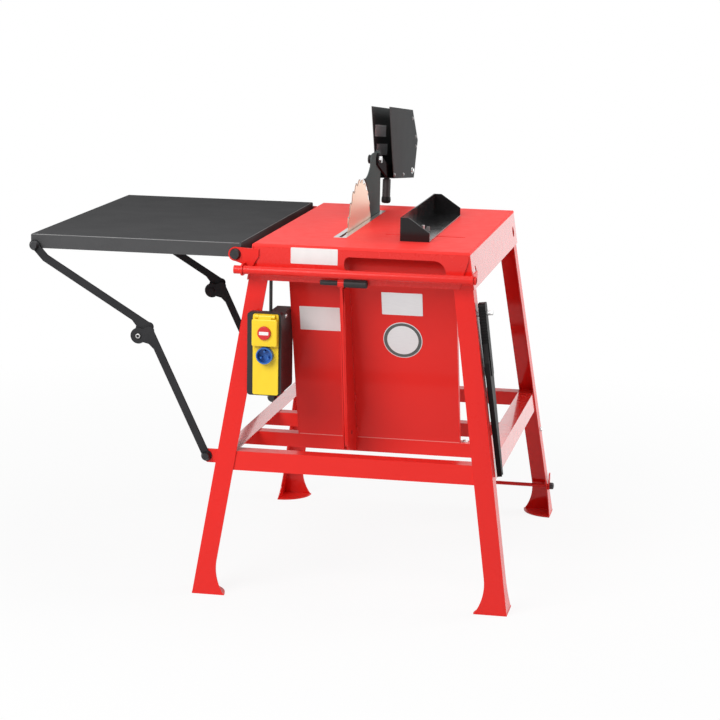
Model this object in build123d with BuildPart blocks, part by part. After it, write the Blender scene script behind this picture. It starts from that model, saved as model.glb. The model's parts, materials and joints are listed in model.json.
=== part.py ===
from build123d import *
import math
import os

# Circular saw bench with a folding side table, millimetres, +Z up.
# It is drawn about the middle of the bench: X to the operator's right, Y away from
# the operator, Z from the floor. At the end it is moved so that the origin lies on
# the floor under the middle of the whole object.

# Fits
fit = 0.2
running_fit = 0.05
swing_gap = 1.0
paint_gap = 0.5

# Table
table_width = 525.0
table_depth = 805.0
table_height = 850.0
sheet = 3.0
skirt_height = 88.0
bend_radius = 4.0
skirt_relief = 24.0
window_left = -38.0
window_margin = 18.5
window_height = 35.0
window_drop = 23.0
window_small_corner = 12.0
window_large_corner = 30.0
wing_hole_radius = 14.0
wing_hole_setback = 52.0
wing_hole_drop = 51.0

# Legs
foot_out_x = 122.5
foot_out_y = 91.5
leg_width_top = 47.0
leg_width_low = 46.0
leg_tongue_width = 33.0
leg_lap = 2.0
foot_flare = 80.0
flare_height = 85.0
foot_plate = 4.0

# Stretchers and cross beams
stretcher_top = 350.0
stretcher_height = 46.0
stretcher_flange = 40.0
beam_flange = 35.0
front_beam_setback = 185.5
rear_beam_y = 5.0

# Front rail
rail_radius = 10.0
rail_wall = 2.0
rail_standoff = 29.5
rail_drop = 60.0
rail_left_overhang = 36.5
rail_right_overhang = 20.5
bracket_sheet = 4.0
rail_bracket_overhang = 18.5
rail_bracket_reach = 14.0
rail_bracket_length = 44.0

# Saw blade and arbor
blade_x = -82.0
blade_y = -3.0
blade_radius = 157.5
blade_rise_share = 0.73
blade_thickness = 2.8
tooth_count = 24
tooth_depth = 10.0
arbor_radius = 12.5
arbor_left = -116.0
arbor_right = 70.0
flange_radius = 35.0
flange_thickness = 8.0
nut_radius = 20.0
nut_thickness = 14.0
bearing_width = 26.0
bearing_depth = 90.0
bearing_below = 32.0
bearing_left_x = -38.0
bearing_right_x = 52.0

# Table insert
insert_width = 33.0
insert_lead = 84.5
insert_tail = 13.0
insert_ledge = 4.0
kerf_width = 8.0
kerf_end_margin = 8.0

# Belt drive and motor
pulley_x = 2.0
pulley_width = 24.0
arbor_pulley_radius = 33.0
motor_pulley_radius = 38.0
belt_thickness = 4.0
belt_width = 20.0
belt_gap = 0.4
motor_rise = 123.0
motor_radius = 92.0
motor_left = 28.0
motor_length = 120.0
motor_fin_count = 28
motor_fin_height = 6.0
motor_fin_width = 3.0
motor_shaft_radius = 12.0
fan_cover_length = 30.0
fan_cover_radius = 90.0
cradle_inset = 8.0
cradle_sheet = 4.0
cradle_wall = 6.0
terminal_box_size = 72.0
terminal_box_height = 44.0

# Casing round the blade
casing_left_margin = 79.5
casing_right_margin = 40.5
casing_sheet = 2.5
casing_front_setback = 33.5
casing_rear_setback = 57.5
casing_return = 20.0
column_x = -42.0
column_width = 11.5
column_sheet = 2.5
column_drop = 100.0
column_mid_share = 0.57
column_low_share = 0.17
column_nose_setback = 2.5
column_mid_setback = 25.5
column_low_setback = 58.5
column_foot_setback = 68.5
column_foot_drop = 6.0
column_toe_drop = 33.0

# Lever with the cross handle
lever_pivot_setback = 117.5
lever_pivot_rise = 28.0
lever_top_standoff = 12.5
lever_top_drop = 84.0
lever_width = 16.0
lever_thickness = 5.0
lever_bolt_radius = 5.0
hub_width = 15.0
hub_size = 22.0
bar_radius = 6.25
bar_length = 43.5
grip_radius = 10.0
grip_length = 55.5

# Riving knife and guard
knife_thickness = 3.0
knife_gap = 6.0
knife_tip_angle = 70.0
knife_low_angle = -22.0
knife_neck_inset = 13.5
knife_shoulder = 24.0
knife_rear_reach = 122.5
knife_top_rise = 49.025
knife_top_corner = 26.0
knife_below = 98.0
clamp_setback = 87.0
clamp_depth = 76.0
clamp_width = 24.0
pivot_setback = 52.0
pivot_drop = 21.0
guard_raise = 185.9
guard_width = 50.0
guard_sheet = 2.0
guard_bottom = -139.0
guard_rear_u = -32.0
guard_front_u = -392.0
guard_nose_u = -494.0
guard_nose_v = -56.0
guard_brow_u = -464.0
guard_brow_v = 19.0
guard_crown_u = -450.0
guard_crown_v = 50.0
guard_back_u = -132.0
guard_arm_thickness = 5.0
guard_arm_width = 34.0
guard_arm_end_u = -262.0
guard_arm_drop = 34.0
guard_bolt_radius = 5.0
guard_knob_radius = 12.0
guard_knob_length = 14.0
guard_grip_u = -161.0
guard_grip_radius = 11.0
guard_grip_length = 66.0

# Fence
fence_left = 70.0
fence_width = 72.0
fence_height = 57.0
fence_front = -261.0
fence_length = 499.0
fence_sheet = 3.0
fence_end_top = 21.0
fence_end_low = 22.0
fence_bolt_x = 108.0
fence_bolt_y = -153.0
fence_bolt_radius = 4.0
fence_slot_left = 15.0
fence_slot_length = 200.0
fence_slot_width = 10.0

# Side table and its stays
wing_width = 526.0
wing_gap = 27.5
wing_drop = 35.0
wing_sheet = 2.5
hinge_inset = 13.0
hinge_drop = 27.0
pivot_bolt_radius = 5.0
hinge_cap_radius = 14.0
stay_head_inset = 12.0
stay_kink_dx = 27.0
stay_kink_dz = -30.0
elbow_reach = 238.0
elbow_drop = 209.0
elbow_upper_dx = 25.0
elbow_upper_dz = 22.0
elbow_lower_dx = 28.0
elbow_lower_dz = 13.0
elbow_web = 44.0
elbow_web_rise = 6.0
elbow_web_start = 11.0
stay_foot_standoff = 33.55
stay_foot_drop = 24.0
stay_width = 18.5
stay_lug_width = 22.0
stay_thickness = 5.0
elbow_radius = 19.5
stay_eye_radius = 13.0
rear_stay_setback = 114.0
rib_height = 32.0

# Switch and inlet
switch_inset = 3.0
switch_width = 83.5
switch_drop = 156.0
switch_height = 201.0
switch_standoff = 1.5
switch_depth = 24.0
switch_corner = 8.0
bracket_inset = 38.0
bracket_depth = 140.0
bracket_drop = 11.0
cover_margin = 3.0
cover_left_margin = 15.0
cover_right_margin = 6.5
cover_corner = 4.5
cover_thickness = 5.0
flap_height = 65.5
flap_rise = 14.0
flap_pin_radius = 2.5
stop_radius = 16.0
stop_height = 8.0
stop_drop = 46.0
start_radius = 11.0
start_drop = 51.0
start_travel = 3.0
inlet_radius = 20.0
inlet_drop = 101.0
lead_radius = 4.0
lead_bend = 26.0

# Push stick and rear axle
stick_length = 421.0
stick_width = 32.0
stick_blade_width = 58.0
stick_tip_width = 20.0
stick_thickness = 12.0
stick_offset = 5.0
stick_tail = 9.0
stick_lean = 1.0
stick_grip = 70.0
stick_widest = 115.0
stick_pad_length = 150.0
stick_hole_drop = 26.0
stick_screw_radius = 4.0
stick_setback = 24.5
stick_drop = 148.0
axle_radius = 5.0
axle_setback = 21.0
axle_z = 78.0
axle_nut_radius = 9.0
axle_nut_thickness = 7.0
keeper_height = 46.0
keeper_width = 20.0

# Places worked out from the sizes above
table_under = table_height - sheet
skirt_low = table_height - skirt_height
table_fold = table_under - sheet
window_middle = table_height - window_drop - window_height / 2
front_face = -table_depth / 2
blade_rise = blade_rise_share * blade_radius
arbor_z = table_height + blade_rise - blade_radius
left_face = -table_width / 2
right_face = table_width / 2
window_length = right_face - window_margin
foot_spread_x = table_width + 2 * foot_out_x
foot_spread_y = table_depth + 2 * foot_out_y
leg_top_x = table_width / 2 - sheet - fit
leg_slope = (foot_spread_x / 2 - leg_top_x) / table_fold
skirt_spread = leg_slope * (table_fold - skirt_low)
leg_x = leg_top_x + skirt_spread
leg_y = table_depth / 2 - sheet - fit
splay_x = foot_spread_x / 2 - leg_x
splay_y = foot_spread_y / 2 - leg_y
beam_top = stretcher_top - sheet
rail_left = left_face - rail_left_overhang
rail_right = right_face + rail_right_overhang
rail_bracket_left_x = left_face - rail_bracket_overhang
rail_y = front_face - rail_standoff
rail_z = table_height - rail_drop
hinge_z = table_height - hinge_drop
knife_neck_y = blade_y + blade_radius - knife_neck_inset
knife_rear_y = blade_y + blade_radius + knife_rear_reach
knife_top_z = table_height + blade_rise + knife_top_rise
clamp_front_y = knife_rear_y - clamp_setback
pivot_y = knife_rear_y - pivot_setback
pivot_z = knife_top_z - pivot_drop
insert_front = blade_y - blade_radius - insert_lead
insert_rear = knife_rear_y + insert_tail
front_beam_y = front_face + front_beam_setback
motor_y = (front_beam_y + rear_beam_y + beam_flange) / 2
motor_z = beam_top + motor_rise
casing_left = left_face + casing_left_margin
casing_right = right_face - casing_right_margin
casing_top_front = front_face + casing_front_setback
casing_top_rear = -front_face - casing_rear_setback
column_nose = front_face + column_nose_setback
column_top_z = table_height - column_drop
column_mid_z = beam_top + column_mid_share * (column_top_z - beam_top)
column_mid_y = front_face + column_mid_setback
column_low_z = beam_top + column_low_share * (column_top_z - beam_top)
column_low_y = front_face + column_low_setback
column_foot_y = front_face + column_foot_setback
lever_pivot_y = front_face + lever_pivot_setback
lever_pivot_z = beam_top + lever_pivot_rise
lever_top_y = front_face - lever_top_standoff
lever_top_z = table_height - lever_top_drop
bar_left = column_x - hub_width / 2 - bar_length
grip_right = column_x + hub_width / 2 + grip_length
wing_right = left_face - wing_gap
wing_left = wing_right - wing_width
hinge_x = wing_right - hinge_inset
stay_head_x = wing_left + stay_head_inset
elbow_x = hinge_x - elbow_reach
elbow_z = hinge_z - elbow_drop
stay_foot_z = stretcher_top - stay_foot_drop
rear_stay_shift = table_depth - rear_stay_setback
switch_left = left_face + switch_inset
switch_right = switch_left + switch_width
switch_low = table_height - switch_drop - switch_height
bracket_left = left_face + bracket_inset
stick_screw_y = front_face + stick_setback
stick_screw_z = table_height - stick_drop
lead_right = casing_right + 3.5 * lead_radius
terminal_box_x = motor_left + motor_length / 2
cradle_left = motor_left + cradle_inset
cradle_width = motor_length - 2 * cradle_inset
wing_front = front_face + swing_gap
stay_back_y = front_face - bracket_sheet - paint_gap
stay_upper_y = stay_back_y - stay_thickness
stay_lower_y = stay_upper_y - swing_gap - stay_thickness

pieces = {}


def keep(piece, name):
    """Label a finished piece and remember it for writing."""
    piece.part.label = name
    pieces[name] = piece.part


def outer_x(z):
    """Outer side face of a right leg at a height."""
    return leg_x + splay_x * (skirt_low - z) / skirt_low


def outer_y(z):
    """Outer end face of a rear leg at a height."""
    return leg_y + splay_y * (skirt_low - z) / skirt_low


def inner_x(z):
    """Inner side face of a right leg at a height, less the fit."""
    return outer_x(z) - sheet * math.hypot(splay_x, skirt_low) / skirt_low - fit


def inner_y(z):
    """Inner end face of a rear leg at a height, less the fit."""
    return outer_y(z) - sheet * math.hypot(splay_y, skirt_low) / skirt_low - fit


stay_foot_x = -outer_x(stay_foot_z) - stay_foot_standoff
switch_back = -outer_y(switch_low) - switch_standoff
bracket_rear = switch_back + bracket_depth


def casing_front_y(z):
    """Front face of the sloping front panels at a height."""
    share = (table_under - z) / (table_under - beam_top)
    return casing_top_front + (front_beam_y - casing_top_front) * share


def yz_face(points, x):
    """A flat outline in the YZ plane at a place along X."""
    with BuildSketch(Plane.YZ.offset(x)) as outline:
        with BuildLine():
            Polyline(*points, close=True)
        make_face()
    return outline.sketch


def disc(plane, x, y, radius, bore=0.0):
    """A round outline, or a ring, at a place on a plane."""
    with BuildSketch(plane) as outline:
        with Locations((x, y)):
            Circle(radius)
            if bore > 0:
                Circle(bore, mode=Mode.SUBTRACT)
    return outline.sketch


def hexagon(plane, x, y, radius, bore=0.0):
    """A six-sided outline at a place on a plane."""
    with BuildSketch(plane) as outline:
        with Locations((x, y)):
            RegularPolygon(radius, 6)
            if bore > 0:
                Circle(bore, mode=Mode.SUBTRACT)
    return outline.sketch


def inset(path, gap):
    """The same open path moved to its right-hand side by a gap."""
    moved = []
    for start, end in zip(path[:-1], path[1:]):
        reach = math.hypot(end[0] - start[0], end[1] - start[1])
        shift = (gap * (end[1] - start[1]) / reach, -gap * (end[0] - start[0]) / reach)
        moved.append(
            (
                (start[0] + shift[0], start[1] + shift[1]),
                (end[0] + shift[0], end[1] + shift[1]),
            )
        )
    points = [moved[0][0]]
    for (a, b), (c, d) in zip(moved[:-1], moved[1:]):
        u = (b[0] - a[0], b[1] - a[1])
        v = (d[0] - c[0], d[1] - c[1])
        cross = u[0] * v[1] - u[1] * v[0]
        share = ((c[0] - a[0]) * v[1] - (c[1] - a[1]) * v[0]) / cross
        points.append((a[0] + share * u[0], a[1] + share * u[1]))
    points.append(moved[-1][1])
    return points


def front_plane(y_back):
    """A plane that faces the operator, with X to the right and Z up."""
    return Plane.XZ.offset(-y_back)


def bar_between(start, end, width):
    """A round-ended bar between two points of the current sketch."""
    reach = math.hypot(end[0] - start[0], end[1] - start[1])
    turn = math.degrees(math.atan2(end[1] - start[1], end[0] - start[0]))
    with Locations(((start[0] + end[0]) / 2, (start[1] + end[1]) / 2)):
        SlotCenterToCenter(reach, width, rotation=turn)


# Table top: a folded sheet with the insert opening and the fence slot
insert_length = insert_rear - insert_front
insert_y = (insert_front + insert_rear) / 2
with BuildPart() as table_top:
    with BuildSketch(Plane.XY.offset(table_fold)):
        Rectangle(table_width, table_depth)
    extrude(amount=table_height - table_fold)
    fillet(table_top.faces().sort_by(Axis.Z)[-1].edges(), radius=bend_radius)
    with BuildSketch(Plane.XY.offset(table_fold)):
        Rectangle(table_width - 2 * sheet, table_depth - 2 * sheet)
        with Locations((blade_x, insert_y)):
            Rectangle(
                insert_width + 2 * insert_ledge,
                insert_length + 2 * insert_ledge,
                mode=Mode.SUBTRACT,
            )
    extrude(amount=table_under - table_fold, mode=Mode.SUBTRACT)
    with BuildSketch(Plane.XY.offset(table_fold)):
        with Locations((blade_x, insert_y)):
            Rectangle(insert_width - 2 * insert_ledge, insert_length - 2 * insert_ledge)
    extrude(amount=table_under - table_fold, mode=Mode.SUBTRACT)
    with BuildSketch(Plane.XY.offset(table_under)):
        with Locations((blade_x, insert_y)):
            Rectangle(insert_width, insert_length)
        with Locations((fence_slot_left + fence_slot_length / 2, fence_bolt_y)):
            SlotOverall(fence_slot_length, fence_slot_width)
    extrude(amount=sheet, mode=Mode.SUBTRACT)
keep(table_top, "table_top")

# Skirts: four folded walls under the table's edge, with seams at the corners
skirt_wall = table_fold - skirt_low
skirt_middle = (table_fold + skirt_low) / 2
with BuildPart() as table_skirts:
    for y_back in (front_face + sheet, -front_face):
        with BuildSketch(front_plane(y_back)) as wall:
            with Locations((0, skirt_middle)):
                Rectangle(table_width - 2 * (sheet + fit), skirt_wall)
            for side in (-1, 1):
                edge = side * table_width / 2
                with BuildLine():
                    Polyline(
                        (edge, table_height - 2 * bend_radius),
                        (edge, skirt_low),
                        (edge - side * skirt_relief, skirt_low),
                        close=True,
                    )
                make_face(mode=Mode.SUBTRACT)
            if y_back < 0:
                with BuildSketch(mode=Mode.PRIVATE) as window:
                    with Locations((window_left + window_length / 2, window_middle)):
                        Rectangle(window_length, window_height)
                    fillet(window.vertices().group_by(Axis.X)[0], radius=window_small_corner)
                    right_end = window.vertices().group_by(Axis.X)[-1]
                    fillet(right_end.sort_by(Axis.Y)[-1], radius=window_large_corner)
                add(window.sketch, mode=Mode.SUBTRACT)
        extrude(amount=sheet)
    for side in (-1, 1):
        top_edge = side * table_width / 2
        low_edge = side * (table_width / 2 + skirt_spread)
        with BuildSketch(front_plane(-front_face)):
            with BuildLine():
                Polyline(
                    (top_edge, table_fold),
                    (low_edge, skirt_low),
                    (low_edge - side * sheet, skirt_low),
                    (top_edge - side * sheet, table_fold),
                    close=True,
                )
            make_face()
        extrude(amount=table_depth)
    hole_z = table_height - wing_hole_drop
    hole_x = right_face - sheet / 2 + leg_slope * (table_fold - hole_z)
    hole_plane = Plane(origin=(hole_x, 0, hole_z), x_dir=(0, 1, 0), z_dir=(1, 0, leg_slope))
    with BuildSketch(hole_plane):
        with Locations((front_face + wing_hole_setback, 0), (-front_face - wing_hole_setback, 0)):
            Circle(wing_hole_radius)
    extrude(amount=2 * sheet, both=True, mode=Mode.SUBTRACT)
keep(table_skirts, "table_skirts")

# Table insert with the saw kerf
with BuildPart() as table_insert:
    with BuildSketch(Plane.XY.offset(table_under)):
        with Locations((blade_x, insert_y)):
            Rectangle(insert_width - 2 * fit, insert_length - 2 * fit)
            SlotOverall(
                insert_length - 2 * kerf_end_margin,
                kerf_width,
                rotation=90,
                mode=Mode.SUBTRACT,
            )
    extrude(amount=sheet)
keep(table_insert, "table_insert")


# Legs: two folded flanges with a flared foot and a tongue inside the skirt
def leg_flange(plane, run, spread, thickness):
    share = (skirt_low - flare_height) / skirt_low
    outer_top = (spread * leg_lap / run, -leg_lap)
    outer_low = (-spread, run)
    toe = (foot_flare - spread, run)
    knee = (leg_width_low - spread * share, run * share)
    inner_top = (leg_width_top, -leg_lap)
    with BuildSketch(plane) as outline:
        with BuildLine():
            Polyline(inner_top, outer_top, outer_low, toe)
            TangentArc(knee, toe, tangent=(knee[0] - inner_top[0], knee[1] - inner_top[1]))
            Line(knee, inner_top)
        make_face()
    extrude(outline.sketch, amount=thickness)


corner = (leg_x, leg_y, skirt_low)
tongue_top = table_under - fit
tongue_x = leg_x - leg_slope * (tongue_top - skirt_low)
run_x = math.hypot(splay_x, skirt_low)
run_y = math.hypot(splay_y, skirt_low)
end_plane = Plane(origin=corner, x_dir=(-1, 0, 0), z_dir=(0, -skirt_low, -splay_y))
side_plane = Plane(origin=corner, x_dir=(0, -1, 0), z_dir=(skirt_low, 0, splay_x))
with BuildPart() as leg_shape:
    for tongue_width, tongue_depth in ((leg_tongue_width, sheet), (sheet, leg_tongue_width)):
        with BuildSketch(front_plane(leg_y)):
            with BuildLine():
                Polyline(
                    (leg_x, skirt_low),
                    (tongue_x, tongue_top),
                    (tongue_x - tongue_width, tongue_top),
                    (leg_x - tongue_width, skirt_low),
                    close=True,
                )
            make_face()
        extrude(amount=tongue_depth)
    leg_flange(end_plane, run_y, splay_x, sheet)
    leg_flange(side_plane, run_x, splay_y, -sheet)
    split(bisect_by=Plane.XY.offset(foot_plate), keep=Keep.TOP)

axle_y = outer_y(axle_z) - axle_setback
for side, side_name in ((-1, "left"), (1, "right")):
    for end, end_name in ((-1, "front"), (1, "rear")):
        turned = leg_shape.part
        if side < 0:
            turned = turned.mirror(Plane.YZ)
        if end < 0:
            turned = turned.mirror(Plane.XZ)
        with BuildPart() as leg:
            add(turned)
            if end > 0:
                with BuildSketch(Plane.YZ):
                    with Locations((axle_y, axle_z)):
                        Circle(axle_radius + fit)
                extrude(amount=foot_spread_x, both=True, mode=Mode.SUBTRACT)
        keep(leg, f"leg_{end_name}_{side_name}")

with BuildPart() as foot_plates:
    for side in (-1, 1):
        for end in (-1, 1):
            heel = (side * foot_spread_x / 2, end * foot_spread_y / 2)
            with BuildSketch(Plane.XY):
                with BuildLine():
                    side_toe = (heel[0] - side * foot_flare, heel[1])
                    end_toe = (heel[0], heel[1] - end * foot_flare)
                    bow = foot_flare / math.sqrt(2)
                    Line(heel, side_toe)
                    ThreePointArc(side_toe, (heel[0] - side * bow, heel[1] - end * bow), end_toe)
                    Line(end_toe, heel)
                make_face()
            extrude(amount=foot_plate)
keep(foot_plates, "foot_plates")

# Stretchers: angle bars inside the legs
stretcher_low = stretcher_top - stretcher_height
cross_half = inner_x(stretcher_top) - sheet - fit
with BuildPart() as cross_stretchers:
    for end in (-1, 1):
        with BuildSketch(Plane.YZ.offset(-cross_half)):
            with BuildLine():
                Polyline(
                    (end * inner_y(stretcher_top), stretcher_top),
                    (end * inner_y(stretcher_low), stretcher_low),
                    (end * (inner_y(stretcher_low) - sheet), stretcher_low),
                    (end * (inner_y(beam_top) - sheet), beam_top),
                    (end * (inner_y(stretcher_top) - stretcher_flange), beam_top),
                    (end * (inner_y(stretcher_top) - stretcher_flange), stretcher_top),
                    close=True,
                )
            make_face()
        extrude(amount=2 * cross_half)
keep(cross_stretchers, "cross_stretchers")

side_half = inner_y(stretcher_top) - fit
with BuildPart() as side_stretchers:
    for side in (-1, 1):
        with BuildSketch(front_plane(side_half)):
            with BuildLine():
                Polyline(
                    (side * inner_x(stretcher_top), stretcher_top),
                    (side * inner_x(stretcher_low), stretcher_low),
                    (side * (inner_x(stretcher_low) - sheet), stretcher_low),
                    (side * (inner_x(stretcher_top) - sheet), stretcher_top),
                    close=True,
                )
            make_face()
        extrude(amount=2 * side_half)
        flange_half = inner_y(stretcher_top) - stretcher_flange - fit
        flange_middle = inner_x(stretcher_top) - (stretcher_flange + sheet) / 2
        with BuildSketch(front_plane(flange_half)):
            with Locations((side * flange_middle, stretcher_top - sheet / 2)):
                Rectangle(stretcher_flange - sheet + 2 * sheet / 3, sheet)
        extrude(amount=2 * flange_half)
keep(side_stretchers, "side_stretchers")

with BuildPart() as cross_beams:
    for beam_y in (front_beam_y, rear_beam_y):
        with BuildSketch(Plane.YZ.offset(-cross_half)):
            with BuildLine():
                Polyline(
                    (beam_y, beam_top),
                    (beam_y, beam_top - beam_flange),
                    (beam_y + sheet, beam_top - beam_flange),
                    (beam_y + sheet, beam_top - sheet),
                    (beam_y + beam_flange, beam_top - sheet),
                    (beam_y + beam_flange, beam_top),
                    close=True,
                )
            make_face()
        extrude(amount=2 * cross_half)
keep(cross_beams, "cross_beams")

# Front rail and the brackets that carry it and the side table
with BuildPart() as front_rail:
    with BuildSketch(Plane.YZ.offset(rail_left)):
        with Locations((rail_y, rail_z)):
            Circle(rail_radius)
            Circle(rail_radius - rail_wall, mode=Mode.SUBTRACT)
    extrude(amount=rail_right - rail_left)
keep(front_rail, "front_rail")

rail_bracket_low = rail_z - rail_bracket_reach
rail_bracket_right_x = table_width / 2 + leg_slope * (table_fold - rail_bracket_low) + fit
with BuildPart() as rail_brackets:
    for x_low, y_rear in (
        (rail_bracket_left_x, front_face - bracket_sheet),
        (rail_bracket_right_x, front_face - rail_bracket_reach + rail_bracket_length),
    ):
        y_front = rail_y - rail_bracket_reach
        with BuildSketch(Plane.YZ.offset(x_low)) as ear:
            with Locations(((y_front + y_rear) / 2, rail_z)):
                Rectangle(y_rear - y_front, 2 * rail_bracket_reach)
            fillet(ear.vertices().group_by(Axis.X)[0], radius=rail_bracket_reach - fit)
            with Locations((rail_y, rail_z)):
                Circle(rail_radius + fit, mode=Mode.SUBTRACT)
        extrude(amount=bracket_sheet)
keep(rail_brackets, "rail_brackets")

hinge_eye = hinge_cap_radius + sheet
with BuildPart() as hinge_brackets:
    for y_back in (front_face, -front_face + bracket_sheet):
        with BuildSketch(front_plane(y_back)):
            with Locations((hinge_x, hinge_z)):
                Circle(hinge_eye)
            with BuildLine():
                Polyline(
                    (hinge_x, hinge_z + hinge_eye),
                    (-table_width / 2 + hinge_eye, hinge_z + hinge_eye - sheet),
                    (-table_width / 2 + hinge_eye, hinge_z - sheet),
                    (rail_bracket_left_x + 2 * bracket_sheet, rail_z - rail_bracket_reach),
                    (rail_bracket_left_x - bracket_sheet, rail_z - rail_bracket_reach),
                    (rail_bracket_left_x - bracket_sheet, rail_z + rail_radius),
                    (hinge_x, hinge_z - hinge_eye),
                    close=True,
                )
            make_face()
            with Locations((hinge_x, hinge_z)):
                Circle(pivot_bolt_radius + fit, mode=Mode.SUBTRACT)
        extrude(amount=bracket_sheet)
keep(hinge_brackets, "hinge_brackets")


# Stay brackets: one on the front left leg, one on the left stretcher
stay_bracket_y = stay_upper_y + bracket_sheet - paint_gap
with BuildPart() as stay_brackets:
    for shift, face in ((0, outer_x), (rear_stay_shift, inner_x)):
        low = stay_foot_z - 1.3 * stay_eye_radius
        high = stay_foot_z + 1.3 * stay_eye_radius
        with BuildSketch(front_plane(stay_bracket_y + shift)):
            with BuildLine():
                Polyline(
                    (-face(high) - fit, high),
                    (stay_foot_x, high),
                    (stay_foot_x - stay_eye_radius, stay_foot_z),
                    (stay_foot_x, low),
                    (-face(low) - fit, low),
                    close=True,
                )
            make_face()
            with Locations((stay_foot_x, stay_foot_z)):
                Circle(pivot_bolt_radius + fit, mode=Mode.SUBTRACT)
        extrude(amount=bracket_sheet)
keep(stay_brackets, "stay_brackets")


def pivot_bolt(x, z, head_y, tail_y, cap_radius):
    """A domed bolt along Y, its cap towards the operator and a nut at its tail."""
    extrude(disc(front_plane(tail_y), x, z, pivot_bolt_radius), amount=tail_y - head_y)
    extrude(disc(front_plane(head_y), x, z, cap_radius), amount=cap_height, taper=20)
    extrude(hexagon(front_plane(tail_y), x, z, nut_width), amount=nut_height)


cap_height = 9.0
nut_width = 1.7 * pivot_bolt_radius
nut_height = 1.4 * pivot_bolt_radius

# Casing: sloping front panels, left wall and rear wall
slope_run = math.hypot(front_beam_y - casing_top_front, table_under - beam_top)
panel_depth = casing_sheet * slope_run / (table_under - beam_top)


panel_profile = (
    (casing_front_y(table_under), table_under),
    (casing_front_y(beam_top), beam_top),
    (casing_front_y(beam_top) + panel_depth, beam_top),
    (casing_front_y(table_under) + panel_depth, table_under),
)
return_profile = (
    panel_profile[0],
    panel_profile[1],
    (casing_front_y(beam_top) + casing_return, beam_top),
    (casing_front_y(table_under) + casing_return, table_under),
)
column_left = column_x - column_width / 2
column_right = column_x + column_width / 2
with BuildPart() as front_panel_left:
    left_start = casing_left + fit
    extrude(yz_face(panel_profile, left_start), amount=column_left - fit - left_start)
keep(front_panel_left, "front_panel_left")

with BuildPart() as front_panel_right:
    right_start = column_right + fit
    extrude(yz_face(panel_profile, right_start), amount=casing_right - right_start)
    extrude(yz_face(return_profile, casing_right - casing_sheet), amount=casing_sheet)
keep(front_panel_right, "front_panel_right")

rear_foot_y = rear_beam_y + beam_flange
rear_depth = casing_sheet * math.hypot(casing_top_rear - rear_foot_y, table_under - beam_top)
rear_depth = rear_depth / (table_under - beam_top)
with BuildPart() as casing_walls:
    left_profile = (
        panel_profile[0],
        panel_profile[1],
        (rear_foot_y, beam_top),
        (casing_top_rear, table_under),
    )
    extrude(yz_face(left_profile, casing_left - casing_sheet), amount=casing_sheet)
    rear_profile = (
        (casing_top_rear, table_under),
        (rear_foot_y, beam_top),
        (rear_foot_y - rear_depth, beam_top),
        (casing_top_rear - rear_depth, table_under),
    )
    extrude(yz_face(rear_profile, casing_left), amount=column_right - casing_left)
keep(casing_walls, "casing_walls")

# Column: a narrow channel in front of the panels, open to the operator
column_profile = (
    (casing_front_y(column_top_z), column_top_z),
    (column_nose, column_top_z),
    (column_mid_y, column_mid_z),
    (column_low_y, column_low_z),
    (column_foot_y, beam_top - column_foot_drop),
    (front_beam_y - fit, beam_top - column_toe_drop),
    (front_beam_y - fit, beam_top),
    (casing_front_y(beam_top), beam_top),
)
with BuildPart() as column:
    extrude(yz_face(column_profile, column_left), amount=column_sheet)
    extrude(yz_face(column_profile, column_right - column_sheet), amount=column_sheet)
    extrude(yz_face(panel_profile, column_left), amount=column_width)
    lever_hole = disc(Plane.YZ.offset(column_left), lever_pivot_y, lever_pivot_z, lever_bolt_radius + fit)
    extrude(lever_hole, amount=column_width, mode=Mode.SUBTRACT)
keep(column, "column")

# Bolts that the side table, the stays and the lever turn on
with BuildPart() as pivot_bolts:
    nut_tail = wing_front + wing_sheet + swing_gap + nut_height
    pivot_bolt(hinge_x, hinge_z, front_face - bracket_sheet, nut_tail, hinge_cap_radius)
    for shift in (0, rear_stay_shift):
        foot_head = stay_lower_y + shift - paint_gap
        foot_tail = stay_bracket_y + shift + nut_height
        pivot_bolt(stay_foot_x, stay_foot_z, foot_head, foot_tail, stay_eye_radius - sheet / 2)
    rear_head = -front_face + bracket_sheet + cap_height
    rear_nut = -wing_front - wing_sheet - swing_gap
    shank_end = rear_nut - nut_height
    extrude(disc(front_plane(rear_head), hinge_x, hinge_z, hinge_cap_radius), amount=cap_height)
    extrude(disc(front_plane(rear_head), hinge_x, hinge_z, pivot_bolt_radius), amount=rear_head - shank_end)
    extrude(hexagon(front_plane(rear_nut), hinge_x, hinge_z, nut_width), amount=nut_height)
    lever_bolt_left = column_left - nut_height
    lever_bolt_span = column_width + nut_height
    pin = disc(Plane.YZ.offset(lever_bolt_left), lever_pivot_y, lever_pivot_z, lever_bolt_radius)
    extrude(pin, amount=lever_bolt_span)
    end_nut = hexagon(Plane.YZ.offset(lever_bolt_left), lever_pivot_y, lever_pivot_z, nut_width)
    extrude(end_nut, amount=nut_height)
keep(pivot_bolts, "pivot_bolts")

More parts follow.
